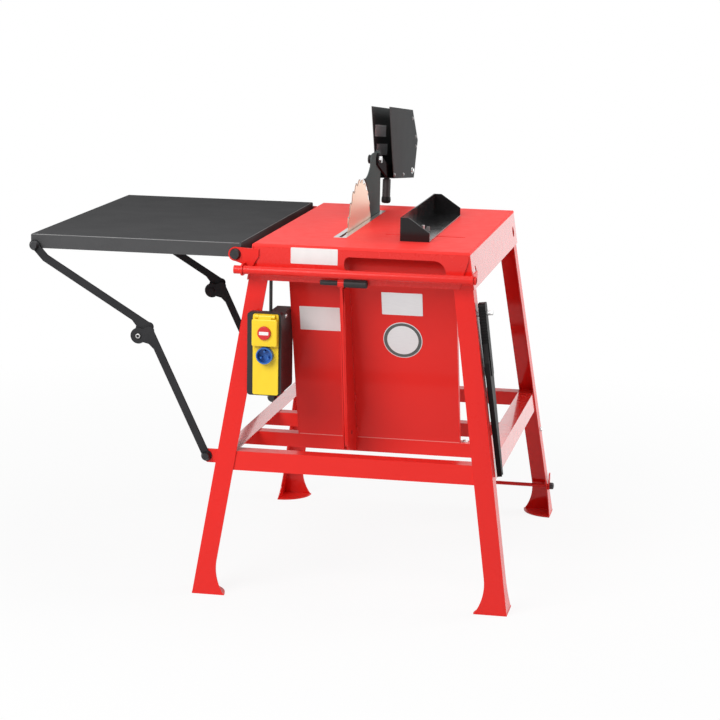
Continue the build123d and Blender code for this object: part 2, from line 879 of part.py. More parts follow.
# Lever with its hub, and the cross handle
lever_sink = lever_width / 2 + 1.0
lever_line = (
    (column_foot_y + lever_sink, beam_top + lever_sink),
    (column_low_y + lever_sink, column_low_z),
    (column_mid_y + lever_sink, column_mid_z),
    (column_nose + lever_sink, column_top_z - 4 * lever_sink),
    (lever_top_y, lever_top_z),
)
with BuildPart() as lever_arm:
    with BuildSketch(Plane.YZ.offset(column_x - lever_thickness / 2)):
        for low_point, high_point in zip(lever_line[:-1], lever_line[1:]):
            bar_between(low_point, high_point, lever_width)
        Polygon(lever_line[0], lever_line[1], (lever_pivot_y, lever_pivot_z), align=None)
        bar_between(lever_line[1], (lever_pivot_y, lever_pivot_z), lever_width)
        with Locations((lever_pivot_y, lever_pivot_z)):
            Circle(1.6 * lever_bolt_radius + sheet)
            Circle(lever_bolt_radius + running_fit, mode=Mode.SUBTRACT)
    extrude(amount=lever_thickness)
    with BuildSketch(Plane.YZ.offset(column_x - hub_width / 2)):
        with Locations((lever_top_y, lever_top_z)):
            Circle(hub_size / 2 - sheet / 2)
    extrude(amount=hub_width)
keep(lever_arm, "lever_arm")

hub_left = column_x - hub_width / 2
hub_right = column_x + hub_width / 2
with BuildPart() as handle_grips:
    with BuildSketch(Plane.YZ.offset(bar_left)):
        with Locations((lever_top_y, lever_top_z)):
            Circle(bar_radius)
    extrude(amount=hub_left - bar_left)
    with BuildSketch(Plane.YZ.offset(hub_right)):
        with Locations((lever_top_y, lever_top_z)):
            Circle(grip_radius)
    extrude(amount=grip_right - hub_right)
    fillet(handle_grips.edges().filter_by(GeomType.CIRCLE).group_by(Axis.X)[0], radius=sheet)
    fillet(handle_grips.edges().filter_by(GeomType.CIRCLE).group_by(Axis.X)[-1], radius=sheet)
keep(handle_grips, "handle_grips")

# Blade, flanges, nut and arbor
with BuildPart() as saw_blade:
    with BuildSketch(Plane.YZ.offset(blade_x - blade_thickness / 2)):
        pitch = 2 * math.pi / tooth_count
        rim = []
        for tooth in range(tooth_count):
            for share, radius in ((0.0, blade_radius), (0.32, blade_radius - 2.0),
                                  (0.62, blade_radius - tooth_depth),
                                  (0.9, blade_radius - tooth_depth)):
                turn = (tooth + share) * pitch
                rim.append((blade_y + radius * math.cos(turn), arbor_z + radius * math.sin(turn)))
        with BuildLine():
            Polyline(*rim, close=True)
        make_face()
        with Locations((blade_y, arbor_z)):
            Circle(arbor_radius + running_fit, mode=Mode.SUBTRACT)
    extrude(amount=blade_thickness)
keep(saw_blade, "saw_blade")


def arbor_ring(x_low, length, radius, bore):
    """A ring on the arbor's axis."""
    extrude(disc(Plane.YZ.offset(x_low), blade_y, arbor_z, radius, bore), amount=length)


blade_left = blade_x - blade_thickness / 2
blade_right = blade_x + blade_thickness / 2
with BuildPart() as blade_clamp:
    arbor_ring(blade_right, flange_thickness, flange_radius, arbor_radius + running_fit)
    arbor_ring(blade_left - flange_thickness, flange_thickness, flange_radius, arbor_radius + running_fit)
    with BuildSketch(Plane.YZ.offset(blade_left - flange_thickness - nut_thickness - fit)):
        with Locations((blade_y, arbor_z)):
            RegularPolygon(nut_radius, 6)
            Circle(arbor_radius + running_fit, mode=Mode.SUBTRACT)
    extrude(amount=nut_thickness)
keep(blade_clamp, "blade_clamp")

with BuildPart() as arbor_shaft:
    with BuildSketch(Plane.YZ.offset(arbor_left)):
        with Locations((blade_y, arbor_z)):
            Circle(arbor_radius)
    extrude(amount=arbor_right - arbor_left)
    chamfer(arbor_shaft.edges().filter_by(GeomType.CIRCLE), length=sheet / 2)
keep(arbor_shaft, "arbor_shaft")

with BuildPart() as arbor_pulley:
    arbor_ring(pulley_x - pulley_width / 2, pulley_width, arbor_pulley_radius, arbor_radius + running_fit)
keep(arbor_pulley, "arbor_pulley")

with BuildPart() as arbor_bearings:
    for middle in (bearing_left_x, bearing_right_x):
        with BuildSketch(Plane.YZ.offset(middle - bearing_width / 2)) as block:
            with Locations((blade_y, (table_under + arbor_z - bearing_below) / 2)):
                Rectangle(bearing_depth, table_under - arbor_z + bearing_below)
            fillet(block.vertices().group_by(Axis.Y)[0], radius=bearing_below - fit)
            with Locations((blade_y, arbor_z)):
                Circle(arbor_radius + running_fit, mode=Mode.SUBTRACT)
        extrude(amount=bearing_width)
keep(arbor_bearings, "arbor_bearings")

# Motor on its cradle, with the belt drive
with BuildPart() as motor_body:
    with BuildSketch(Plane.YZ.offset(motor_left)):
        with Locations((motor_y, motor_z)):
            Circle(motor_radius - motor_fin_height)
    extrude(amount=motor_length)
    with BuildSketch(Plane.YZ.offset(motor_left)):
        with Locations((motor_y, motor_z)):
            with PolarLocations(motor_radius - motor_fin_height, motor_fin_count):
                Rectangle(2 * motor_fin_height, motor_fin_width)
    extrude(amount=motor_length)
    with BuildSketch(Plane.YZ.offset(motor_left)):
        with Locations((motor_y, motor_z)):
            Circle(motor_shaft_radius + running_fit)
    extrude(amount=motor_length / 3, mode=Mode.SUBTRACT)
    box_low = motor_z + motor_radius + fit
    with BuildSketch(Plane.XY.offset(box_low)):
        with Locations((terminal_box_x, motor_y)):
            RectangleRounded(terminal_box_size, terminal_box_size, bend_radius * 2)
    extrude(amount=terminal_box_height)
    fillet(motor_body.faces().sort_by(Axis.Z)[-1].edges(), radius=bend_radius)
keep(motor_body, "motor_body")

motor_right = motor_left + motor_length
with BuildPart() as fan_cover:
    with BuildSketch(Plane.YZ.offset(motor_right)):
        with Locations((motor_y, motor_z)):
            Circle(fan_cover_radius)
    extrude(amount=fan_cover_length)
    fillet(fan_cover.edges().filter_by(GeomType.CIRCLE).group_by(Axis.X)[-1], radius=bend_radius * 2)
    with BuildSketch(Plane.YZ.offset(motor_right + fan_cover_length - sheet)):
        with Locations((motor_y, motor_z)):
            for ring in range(3):
                with PolarLocations(fan_cover_radius * (0.3 + 0.2 * ring), 8 + 4 * ring):
                    Circle(bend_radius * 1.5)
    extrude(amount=sheet, mode=Mode.SUBTRACT)
keep(fan_cover, "fan_cover")

with BuildPart() as motor_cradle:
    with BuildSketch(Plane.XY.offset(beam_top)):
        cradle_front = front_beam_y + panel_depth + sheet
        with Locations((cradle_left + cradle_width / 2, (cradle_front + rear_foot_y) / 2)):
            Rectangle(cradle_width, rear_foot_y - cradle_front)
    extrude(amount=cradle_sheet)
    saddle_low = beam_top + cradle_sheet
    for x_low in (cradle_left, cradle_left + cradle_width - cradle_wall):
        with BuildSketch(Plane.YZ.offset(x_low)):
            with Locations((motor_y, (saddle_low + motor_z) / 2 - motor_radius / 4)):
                Rectangle(1.5 * motor_radius, motor_z - saddle_low - motor_radius / 2)
            with Locations((motor_y, motor_z)):
                Circle(motor_radius + fit, mode=Mode.SUBTRACT)
        extrude(amount=cradle_wall)
keep(motor_cradle, "motor_cradle")

shaft_left = pulley_x - pulley_width / 2 - sheet
with BuildPart() as motor_shaft:
    with BuildSketch(Plane.YZ.offset(shaft_left)):
        with Locations((motor_y, motor_z)):
            Circle(motor_shaft_radius)
    extrude(amount=motor_left + motor_length / 3 - paint_gap - shaft_left)
keep(motor_shaft, "motor_shaft")

with BuildPart() as motor_pulley:
    with BuildSketch(Plane.YZ.offset(pulley_x - pulley_width / 2)):
        with Locations((motor_y, motor_z)):
            Circle(motor_pulley_radius)
            Circle(motor_shaft_radius + running_fit, mode=Mode.SUBTRACT)
    extrude(amount=pulley_width)
keep(motor_pulley, "motor_pulley")


def belt_loop(extra, mode):
    """The outline round both pulleys, a given way outside them."""
    with BuildSketch(Plane.YZ.offset(pulley_x - belt_width / 2)) as loop:
        with Locations((blade_y, arbor_z)):
            Circle(arbor_pulley_radius + extra)
        with Locations((motor_y, motor_z)):
            Circle(motor_pulley_radius + extra)
        make_hull()
    extrude(loop.sketch, amount=belt_width, mode=mode)


with BuildPart() as drive_belt:
    belt_loop(belt_gap + belt_thickness, Mode.ADD)
    belt_loop(belt_gap, Mode.SUBTRACT)
keep(drive_belt, "drive_belt")

# Riving knife, its clamp, and the guard's pivot bolt
knife_arc = blade_radius + knife_gap


def on_knife_arc(angle):
    turn = math.radians(angle)
    return (blade_y + knife_arc * math.cos(turn), arbor_z + knife_arc * math.sin(turn))


knife_low = arbor_z + knife_arc * math.sin(math.radians(knife_low_angle))
knife_tip = on_knife_arc(knife_tip_angle)
with BuildPart() as riving_knife:
    with BuildSketch(Plane.YZ.offset(blade_x - knife_thickness / 2)) as blank:
        with BuildLine():
            ThreePointArc(
                on_knife_arc(knife_low_angle),
                on_knife_arc((knife_low_angle + knife_tip_angle) / 2),
                knife_tip,
            )
            neck = (knife_neck_y, knife_tip[1] + knife_shoulder)
            hollow = (
                (knife_tip[0] + knife_neck_y) / 2 + knife_shoulder / 2,
                knife_tip[1] + knife_shoulder / 6,
            )
            ThreePointArc(knife_tip, hollow, neck)
            Polyline(
                neck,
                (knife_neck_y, knife_top_z),
                (knife_rear_y, knife_top_z),
                (knife_rear_y, knife_low),
                on_knife_arc(knife_low_angle),
            )
        make_face()
        fillet(blank.vertices().group_by(Axis.Y)[-1], radius=knife_top_corner)
        with Locations((pivot_y, pivot_z)):
            Circle(guard_bolt_radius + fit, mode=Mode.SUBTRACT)
    extrude(amount=knife_thickness)
keep(riving_knife, "riving_knife")

knife_right = blade_x + knife_thickness / 2
with BuildPart() as knife_clamp:
    with BuildSketch(Plane.XY.offset(table_under - knife_below)):
        with Locations((knife_right + clamp_width / 2, clamp_front_y + clamp_depth / 2)):
            Rectangle(clamp_width, clamp_depth)
    extrude(amount=knife_below - sheet)
    fillet(knife_clamp.edges().filter_by(Axis.Z), radius=bend_radius)
keep(knife_clamp, "knife_clamp")

knife_left = blade_x - knife_thickness / 2
arm_left = knife_right + swing_gap / 2
arm_right = arm_left + guard_arm_thickness
bolt_nut = 7.0
bolt_left = knife_left - paint_gap - guard_knob_length
with BuildPart() as guard_bolt:
    with BuildSketch(Plane.YZ.offset(bolt_left + sheet)):
        with Locations((pivot_y, pivot_z)):
            Circle(guard_bolt_radius)
    extrude(amount=arm_right + swing_gap / 2 + bolt_nut - bolt_left - sheet)
    with BuildSketch(Plane.YZ.offset(arm_right + swing_gap / 2)):
        with Locations((pivot_y, pivot_z)):
            RegularPolygon(2 * guard_bolt_radius, 6)
    extrude(amount=bolt_nut)
keep(guard_bolt, "guard_bolt")

with BuildPart() as guard_knob:
    with BuildSketch(Plane.YZ.offset(bolt_left)):
        with Locations((pivot_y, pivot_z)):
            Circle(guard_knob_radius - sheet / 2)
            with PolarLocations(guard_knob_radius - sheet, 6):
                Circle(sheet)
    extrude(amount=guard_knob_length)
    with BuildSketch(Plane.YZ.offset(bolt_left + sheet / 2)):
        with Locations((pivot_y, pivot_z)):
            Circle(guard_bolt_radius + running_fit)
    extrude(amount=guard_knob_length, mode=Mode.SUBTRACT)
keep(guard_knob, "guard_knob")

# Guard hood: drawn lowered about its pivot, placed swung back
swing = math.radians(-guard_raise)
guard_axis = (0, math.cos(swing), math.sin(swing))


def guard_plane(x):
    """Lowered-guard coordinates about the pivot, turned to the swung-back place."""
    return Plane(origin=(x, pivot_y, pivot_z), x_dir=guard_axis, z_dir=(1, 0, 0))


guard_low = (guard_rear_u, guard_bottom)
guard_rim = (
    (guard_front_u, guard_bottom),
    (guard_nose_u, guard_nose_v),
    (guard_brow_u, guard_brow_v),
    (guard_crown_u, guard_crown_v),
    (guard_back_u, guard_crown_v),
)
guard_left_x = blade_x - guard_width / 2
guard_right_x = blade_x + guard_width / 2
with BuildPart() as guard_plates:
    for x_low in (guard_left_x, guard_right_x - guard_sheet):
        with BuildSketch(guard_plane(x_low)):
            with BuildLine():
                Polyline(guard_low, *guard_rim, close=True)
            make_face()
        extrude(amount=guard_sheet)
keep(guard_plates, "guard_plates")

arm_seat_v = guard_crown_v - guard_sheet
with BuildPart() as guard_spine:
    with BuildSketch(guard_plane(guard_left_x + guard_sheet)):
        with BuildLine():
            Polyline(*guard_rim, *reversed(inset(guard_rim, guard_sheet)), close=True)
        make_face()
    extrude(amount=guard_width - 2 * guard_sheet)
    with BuildSketch(guard_plane(arm_left)):
        with BuildLine():
            Polyline(
                (guard_arm_end_u, arm_seat_v),
                (guard_back_u, arm_seat_v),
                (0, guard_arm_width / 2),
                (0, -guard_arm_width / 2),
                (guard_back_u, arm_seat_v - guard_arm_drop),
                (guard_arm_end_u, arm_seat_v - guard_arm_drop),
                close=True,
            )
        make_face()
        Circle(guard_arm_width / 2)
        Circle(guard_bolt_radius + running_fit, mode=Mode.SUBTRACT)
    extrude(amount=guard_arm_thickness)
keep(guard_spine, "guard_spine")

grip_plane = Plane(
    origin=guard_plane(blade_x).from_local_coords((guard_grip_u, guard_crown_v, 0)),
    x_dir=(1, 0, 0),
    z_dir=(0, -math.sin(swing), math.cos(swing)),
)
with BuildPart() as guard_grip:
    with BuildSketch(grip_plane):
        Circle(guard_grip_radius - sheet)
    extrude(amount=guard_grip_length)
    with BuildSketch(grip_plane.offset(sheet)):
        Circle(guard_grip_radius)
    extrude(amount=guard_grip_length - sheet)
    fillet(guard_grip.faces().sort_by(Axis.Z)[0].edges(), radius=sheet)
keep(guard_grip, "guard_grip")

# Fence: a folded angle with gusset ends, clamped through the slot
slide_gap = 0.3
fence_low = table_height + slide_gap
fence_right = fence_left + fence_width
fence_top = table_height + fence_height
with BuildPart() as fence_body:
    with BuildSketch(front_plane(fence_front + fence_length)):
        with BuildLine():
            Polyline(
                (fence_left, fence_top),
                (fence_left, fence_low),
                (fence_right, fence_low),
                (fence_right, fence_low + fence_sheet),
                (fence_left + fence_sheet, fence_low + fence_sheet),
                (fence_left + fence_sheet, fence_top),
                close=True,
            )
        make_face()
    extrude(amount=fence_length)
    for y_back in (fence_front + fence_sheet, fence_front + fence_length):
        with BuildSketch(front_plane(y_back)):
            with BuildLine():
                Polyline(
                    (fence_left, fence_top),
                    (fence_left, fence_low),
                    (fence_right, fence_low),
                    (fence_right, fence_low + fence_end_low),
                    (fence_left + fence_end_top, fence_top),
                    close=True,
                )
            make_face()
        extrude(amount=fence_sheet)
    bolt_hole = disc(Plane.XY.offset(fence_low), fence_bolt_x, fence_bolt_y, fence_bolt_radius + fit)
    extrude(bolt_hole, amount=fence_sheet, mode=Mode.SUBTRACT)
keep(fence_body, "fence_body")

fence_head = 5.0
fence_stud = 26.0
with BuildPart() as fence_bolt:
    head_low = table_under - paint_gap - fence_head
    head = disc(Plane.XY.offset(head_low), fence_bolt_x, fence_bolt_y, fence_slot_width)
    extrude(head, amount=fence_head)
    shank = disc(Plane.XY.offset(head_low), fence_bolt_x, fence_bolt_y, fence_bolt_radius)
    extrude(shank, amount=fence_low + fence_stud - head_low)
keep(fence_bolt, "fence_bolt")

wing_nut_radius = 8.0
wing_nut_height = 9.0
wing_nut_span = 17.0
wing_nut_rise = 20.0
with BuildPart() as fence_wing_nut:
    nut_low = fence_low + fence_sheet + slide_gap
    hub = disc(Plane.XY.offset(nut_low), fence_bolt_x, fence_bolt_y, wing_nut_radius)
    extrude(hub, amount=wing_nut_height)
    for side in (-1, 1):
        with BuildSketch(front_plane(fence_bolt_y + fence_sheet / 2)):
            with BuildLine():
                Polyline(
                    (fence_bolt_x + side * 0.7 * wing_nut_radius, nut_low + sheet),
                    (fence_bolt_x + side * wing_nut_span, nut_low + wing_nut_height),
                    (fence_bolt_x + side * wing_nut_span, nut_low + wing_nut_rise),
                    (fence_bolt_x + side * 1.2 * wing_nut_radius, nut_low + wing_nut_rise),
                    (fence_bolt_x + side * 0.7 * wing_nut_radius, nut_low + wing_nut_height),
                    close=True,
                )
            make_face()
        extrude(amount=fence_sheet)
    thread = disc(Plane.XY.offset(nut_low), fence_bolt_x, fence_bolt_y, fence_bolt_radius + running_fit)
    extrude(thread, amount=wing_nut_rise, mode=Mode.SUBTRACT)
keep(fence_wing_nut, "fence_wing_nut")

# Side table: a black pan with one rib for the rear stay
wing_low = table_height - wing_drop
wing_under = table_height - wing_sheet
wing_middle = (wing_left + wing_right) / 2
wing_depth = -2 * wing_front
rib_y = wing_front + rear_stay_shift
with BuildPart() as wing_table:
    with BuildSketch(Plane.XY.offset(wing_low)):
        with Locations((wing_middle, 0)):
            Rectangle(wing_width, wing_depth)
    extrude(amount=wing_drop)
    fillet(wing_table.faces().sort_by(Axis.Z)[-1].edges(), radius=bend_radius)
    with BuildSketch(Plane.XY.offset(wing_low)):
        with Locations((wing_middle, 0)):
            Rectangle(wing_width - 2 * wing_sheet, wing_depth - 2 * wing_sheet)
    extrude(amount=wing_drop - wing_sheet, mode=Mode.SUBTRACT)
    with BuildSketch(Plane.XY.offset(wing_under - rib_height)):
        with Locations((wing_middle, rib_y + wing_sheet / 2)):
            Rectangle(wing_width - wing_sheet, wing_sheet)
    extrude(amount=rib_height)
    hinge_holes = disc(Plane.XZ, hinge_x, hinge_z, pivot_bolt_radius + running_fit)
    extrude(hinge_holes, amount=table_depth, both=True, mode=Mode.SUBTRACT)
    head_holes = disc(Plane.XZ, stay_head_x, hinge_z, pivot_bolt_radius + fit)
    extrude(head_holes, amount=-wing_front, mode=Mode.SUBTRACT)
    rib_hole = disc(front_plane(rib_y + wing_sheet), stay_head_x, hinge_z, pivot_bolt_radius + fit)
    extrude(rib_hole, amount=wing_sheet, mode=Mode.SUBTRACT)
    notch_depth = rib_y - stay_lower_y - rear_stay_shift + stay_thickness + cap_height
    notch_height = hinge_z + stay_eye_radius + sheet - wing_low
    with BuildSketch(Plane.XY.offset(wing_low)):
        with Locations((wing_left + wing_sheet / 2, rib_y - notch_depth / 2)):
            Rectangle(wing_sheet, notch_depth)
    extrude(amount=notch_height, mode=Mode.SUBTRACT)
keep(wing_table, "wing_table")

with BuildPart() as wing_bolts:
    for shift in (0, rear_stay_shift):
        seat = wing_front + shift
        head_y = stay_upper_y + shift - paint_gap
        tail_y = seat + wing_sheet + nut_height
        pivot_bolt(stay_head_x, hinge_z, head_y, tail_y, stay_eye_radius - sheet / 2)
        collar = disc(front_plane(seat), stay_head_x, hinge_z, stay_eye_radius - sheet)
        extrude(collar, amount=seat - stay_back_y - shift - fit)
keep(wing_bolts, "wing_bolts")

stay_head = (stay_head_x, hinge_z)
stay_kink = (stay_head_x + stay_kink_dx, hinge_z + stay_kink_dz)
elbow = (elbow_x, elbow_z)
upper_corner = (elbow_x + elbow_upper_dx, elbow_z + elbow_upper_dz)
lower_corner = (elbow_x + elbow_lower_dx, elbow_z + elbow_lower_dz)
stay_foot = (stay_foot_x, stay_foot_z)
elbow_rivet = 8.0


def elbow_gusset(corner, far_end):
    """Fills the corner between an arm and the elbow's eye."""
    reach = math.dist(corner, far_end)
    along = ((far_end[0] - corner[0]) / reach, (far_end[1] - corner[1]) / reach)
    across = (-along[1], along[0])
    to_elbow = (elbow[0] - corner[0], elbow[1] - corner[1])
    if across[0] * to_elbow[0] + across[1] * to_elbow[1] < 0:
        across = (along[1], -along[0])

    def point(start, forward, sideways):
        return (
            start[0] + forward * along[0] + sideways * across[0],
            start[1] + forward * along[1] + sideways * across[1],
        )

    Polygon(
        elbow,
        corner,
        point(corner, elbow_web, stay_width / 2),
        point(corner, 0.64 * elbow_web, stay_width / 2 + elbow_web_rise),
        point(elbow, elbow_web_start, elbow_web_rise),
        align=None,
    )


for shift, end_name in ((0, "front"), (rear_stay_shift, "rear")):
    with BuildPart() as stay_upper:
        with BuildSketch(front_plane(stay_back_y + shift)):
            bar_between(stay_head, stay_kink, stay_width)
            bar_between(stay_kink, upper_corner, stay_width)
            bar_between(upper_corner, elbow, stay_lug_width)
            elbow_gusset(upper_corner, stay_kink)
            with Locations(elbow):
                Circle(elbow_radius)
            with Locations(stay_head):
                Circle(stay_eye_radius)
                Circle(pivot_bolt_radius + running_fit, mode=Mode.SUBTRACT)
        extrude(amount=stay_thickness)
    keep(stay_upper, f"stay_upper_{end_name}")
    with BuildPart() as stay_lower:
        with BuildSketch(front_plane(stay_lower_y + stay_thickness + shift)):
            bar_between(stay_foot, lower_corner, stay_width)
            bar_between(lower_corner, elbow, stay_lug_width)
            elbow_gusset(lower_corner, stay_foot)
            with Locations(elbow):
                Circle(elbow_radius)
            with Locations(stay_foot):
                Circle(stay_eye_radius)
                Circle(pivot_bolt_radius + running_fit, mode=Mode.SUBTRACT)
        extrude(amount=stay_thickness)
        rivet = disc(front_plane(stay_lower_y + shift), elbow_x, elbow_z, elbow_rivet)
        extrude(rivet, amount=sheet, taper=20)
    keep(stay_lower, f"stay_lower_{end_name}")

# Switch on the front left leg: bracket, housing, cover, flap, buttons, inlet
switch_top = switch_low + switch_height
switch_middle = (switch_left + switch_right) / 2
housing_front = switch_back - switch_depth
cover_front = housing_front - cover_thickness
flap_front = cover_front - flap_rise
cover_left = switch_left + cover_left_margin
cover_width = switch_width - cover_left_margin - cover_right_margin
cover_middle = cover_left + cover_width / 2
cover_height = switch_height - 2 * cover_margin
cover_top = switch_top - cover_margin
start_z = switch_top - start_drop
stop_z = switch_top - stop_drop
inlet_z = switch_top - inlet_drop
bracket_right = casing_left - casing_sheet - fit
shell = 2.5
bracket_low = switch_low - sheet
bracket_top = switch_top - bracket_drop
with BuildPart() as switch_bracket:
    with BuildSketch(Plane.YZ.offset(bracket_left)) as side_view:
        with Locations(((switch_back + bracket_rear) / 2, (bracket_low + bracket_top) / 2)):
            Rectangle(bracket_rear - switch_back, bracket_top - bracket_low)
        fillet(side_view.vertices().sort_by(Axis.Y)[:2].sort_by(Axis.X)[-1], radius=switch_corner)
    extrude(amount=bracket_right - bracket_left)
    with BuildSketch(Plane.YZ.offset(bracket_left)) as hollow_view:
        with Locations(((switch_back + bracket_rear) / 2, (bracket_low + bracket_top) / 2)):
            Rectangle(
                bracket_rear - switch_back - 2 * shell,
                bracket_top - bracket_low - 2 * shell,
            )
        fillet(hollow_view.vertices().sort_by(Axis.Y)[:2].sort_by(Axis.X)[-1], radius=switch_corner)
    extrude(amount=bracket_right - bracket_left - shell, mode=Mode.SUBTRACT)
keep(switch_bracket, "switch_bracket")

button_well = start_travel + 2 * sheet
with BuildPart() as switch_housing:
    with BuildSketch(front_plane(switch_back)):
        with Locations((switch_middle, (switch_low + switch_top) / 2)):
            RectangleRounded(switch_width, switch_height, switch_corner)
    extrude(amount=switch_depth)
    well = disc(front_plane(housing_front + button_well), cover_middle, start_z, start_radius + slide_gap)
    extrude(well, amount=button_well, mode=Mode.SUBTRACT)
keep(switch_housing, "switch_housing")

flap_axis_y = cover_front - flap_pin_radius - shell
flap_axis_z = cover_top - flap_pin_radius - shell
lug_width = 8.0
lug_offset = 20.0
lug_radius = flap_pin_radius + shell
with BuildPart() as switch_cover:
    with BuildSketch(front_plane(housing_front)):
        with Locations((cover_middle, (switch_low + switch_top) / 2)):
            RectangleRounded(cover_width, cover_height, cover_corner)
        with Locations((cover_middle, start_z)):
            Circle(start_radius + slide_gap, mode=Mode.SUBTRACT)
        with Locations((cover_middle, inlet_z)):
            Circle(inlet_radius + fit, mode=Mode.SUBTRACT)
    extrude(amount=cover_thickness)
    for side in (-1, 1):
        lug_x = cover_middle + side * lug_offset - lug_width / 2
        with BuildSketch(Plane.YZ.offset(lug_x)):
            with Locations((flap_axis_y, flap_axis_z)):
                Circle(lug_radius)
            with Locations(((flap_axis_y + cover_front) / 2, flap_axis_z)):
                Rectangle(cover_front - flap_axis_y, 2 * lug_radius)
            with Locations((flap_axis_y, flap_axis_z)):
                Circle(flap_pin_radius + running_fit, mode=Mode.SUBTRACT)
        extrude(amount=lug_width)
keep(switch_cover, "switch_cover")

flap_top = flap_axis_z - lug_radius - paint_gap
flap_low = flap_top - flap_height
flap_back = cover_front - paint_gap
with BuildPart() as switch_flap:
    with BuildSketch(front_plane(flap_back)):
        with Locations((cover_middle, (flap_top + flap_low) / 2)):
            RectangleRounded(cover_width, flap_height, cover_corner)
    extrude(amount=flap_back - flap_front)
    fillet(switch_flap.faces().sort_by(Axis.Y)[0].edges(), radius=sheet)
    with BuildSketch(front_plane(flap_back)):
        with Locations((cover_middle, (flap_top + flap_low) / 2)):
            Rectangle(cover_width - 2 * shell, flap_height - 2 * shell)
    extrude(amount=flap_back - flap_front - shell, mode=Mode.SUBTRACT)
    stop_hole = disc(front_plane(flap_back), cover_middle, stop_z, stop_radius + slide_gap)
    extrude(stop_hole, amount=flap_back - flap_front, mode=Mode.SUBTRACT)
    knuckle_half = lug_offset - lug_width / 2 - paint_gap
    with BuildSketch(Plane.YZ.offset(cover_middle - knuckle_half)):
        with Locations((flap_axis_y, flap_axis_z)):
            Circle(lug_radius - paint_gap)
        with Locations((flap_axis_y, (flap_axis_z + flap_top) / 2)):
            Rectangle(2 * (lug_radius - paint_gap), flap_axis_z - flap_top)
    extrude(amount=2 * knuckle_half)
    pin_half = lug_offset + lug_width / 2
    pin = disc(Plane.YZ.offset(cover_middle - pin_half), flap_axis_y, flap_axis_z, flap_pin_radius)
    extrude(pin, amount=2 * pin_half)
keep(switch_flap, "switch_flap")

stop_front = flap_front - stop_height + shell
collar_back = flap_front + shell + slide_gap
with BuildPart() as stop_button:
    cap = disc(front_plane(collar_back), cover_middle, stop_z, stop_radius)
    extrude(cap, amount=collar_back - stop_front)
    fillet(stop_button.faces().sort_by(Axis.Y)[0].edges(), radius=sheet / 2)
    lip = disc(front_plane(collar_back + sheet / 2), cover_middle, stop_z, stop_radius + sheet / 2)
    extrude(lip, amount=sheet / 2)
keep(stop_button, "stop_button")

with BuildPart() as start_button:
    start_back = housing_front + button_well - start_travel - slide_gap
    start_front = cover_front - sheet
    cap = disc(front_plane(start_back), cover_middle, start_z, start_radius)
    extrude(cap, amount=start_back - start_front)
    fillet(start_button.faces().sort_by(Axis.Y)[0].edges(), radius=sheet / 2)
keep(start_button, "start_button")

inlet_length = 20.0
inlet_wall = 3.0
inlet_pin = 2.4
with BuildPart() as power_inlet:
    ring = disc(front_plane(housing_front), cover_middle, inlet_z, inlet_radius)
    extrude(ring, amount=inlet_length)
    cup = disc(front_plane(housing_front - inlet_wall), cover_middle, inlet_z, inlet_radius - inlet_wall)
    extrude(cup, amount=inlet_length, mode=Mode.SUBTRACT)
    with BuildSketch(front_plane(housing_front - inlet_wall)):
        with Locations((cover_middle, inlet_z)):
            with PolarLocations(inlet_radius / 2, 3, start_angle=90):
                Circle(inlet_pin)
    extrude(amount=inlet_length - 2 * inlet_wall)
keep(power_inlet, "power_inlet")

# Lead from the switch to the motor, run inside the skirt
lead_x = bracket_left + 1.5 * lead_radius
lead_y = -leg_y + sheet + fit + 1.6 * lead_radius
lead_z = skirt_low + 6 * lead_radius
lead_start = bracket_top + fit
lead_end = box_low + terminal_box_height + fit
with BuildPart() as motor_lead:
    with BuildLine() as lead_path:
        FilletPolyline(
            (lead_x, lead_y, lead_start),
            (lead_x, lead_y, lead_z),
            (lead_right, lead_y, lead_z),
            (lead_right, motor_y, lead_z),
            (terminal_box_x, motor_y, lead_z),
            (terminal_box_x, motor_y, lead_end),
            radius=lead_bend,
        )
    with BuildSketch(Plane(origin=(lead_x, lead_y, lead_start), z_dir=(0, 0, 1))):
        Circle(lead_radius)
    sweep(path=lead_path.line)
keep(motor_lead, "motor_lead")

# Push stick, hung on a long screw at the front right leg
stick_angle = math.atan2(splay_x, skirt_low) - math.radians(stick_lean)
stick_plane = Plane(
    origin=(outer_x(stick_screw_z), stick_screw_y, stick_screw_z),
    x_dir=(0, 1, 0),
    z_dir=(math.cos(stick_angle), 0, math.sin(stick_angle)),
)
grip_pad = 2.5
grip_half = stick_width / 2
blade_half = stick_blade_width / 2
tip_half = stick_tip_width / 2
stick_low = stick_hole_drop - stick_length
stick_back = stick_offset + grip_pad
stick_front = stick_back + stick_thickness
with BuildPart() as push_stick:
    with BuildSketch(stick_plane.offset(stick_back)) as blank:
        with BuildLine():
            Polyline(
                (-grip_half, stick_hole_drop),
                (grip_half, stick_hole_drop),
                (grip_half, -stick_grip),
                (blade_half, -stick_widest),
                (tip_half, stick_low),
                (0, stick_low + tip_half),
                (-tip_half, stick_low),
                (-blade_half, -stick_widest),
                (-grip_half, -stick_grip),
                close=True,
            )
        make_face()
        fillet(blank.vertices().group_by(Axis.Y)[-1], radius=switch_corner)
        Circle(stick_screw_radius + running_fit, mode=Mode.SUBTRACT)
    extrude(amount=stick_thickness)
    for pad_base, pad in ((stick_back, -grip_pad), (stick_front, grip_pad)):
        with BuildSketch(stick_plane.offset(pad_base)) as pad_view:
            with Locations((0, (stick_hole_drop - stick_pad_length) / 2)):
                RectangleRounded(stick_width, stick_hole_drop + stick_pad_length, switch_corner)
            Circle(stick_screw_radius + running_fit, mode=Mode.SUBTRACT)
        extrude(amount=pad)
keep(push_stick, "push_stick")

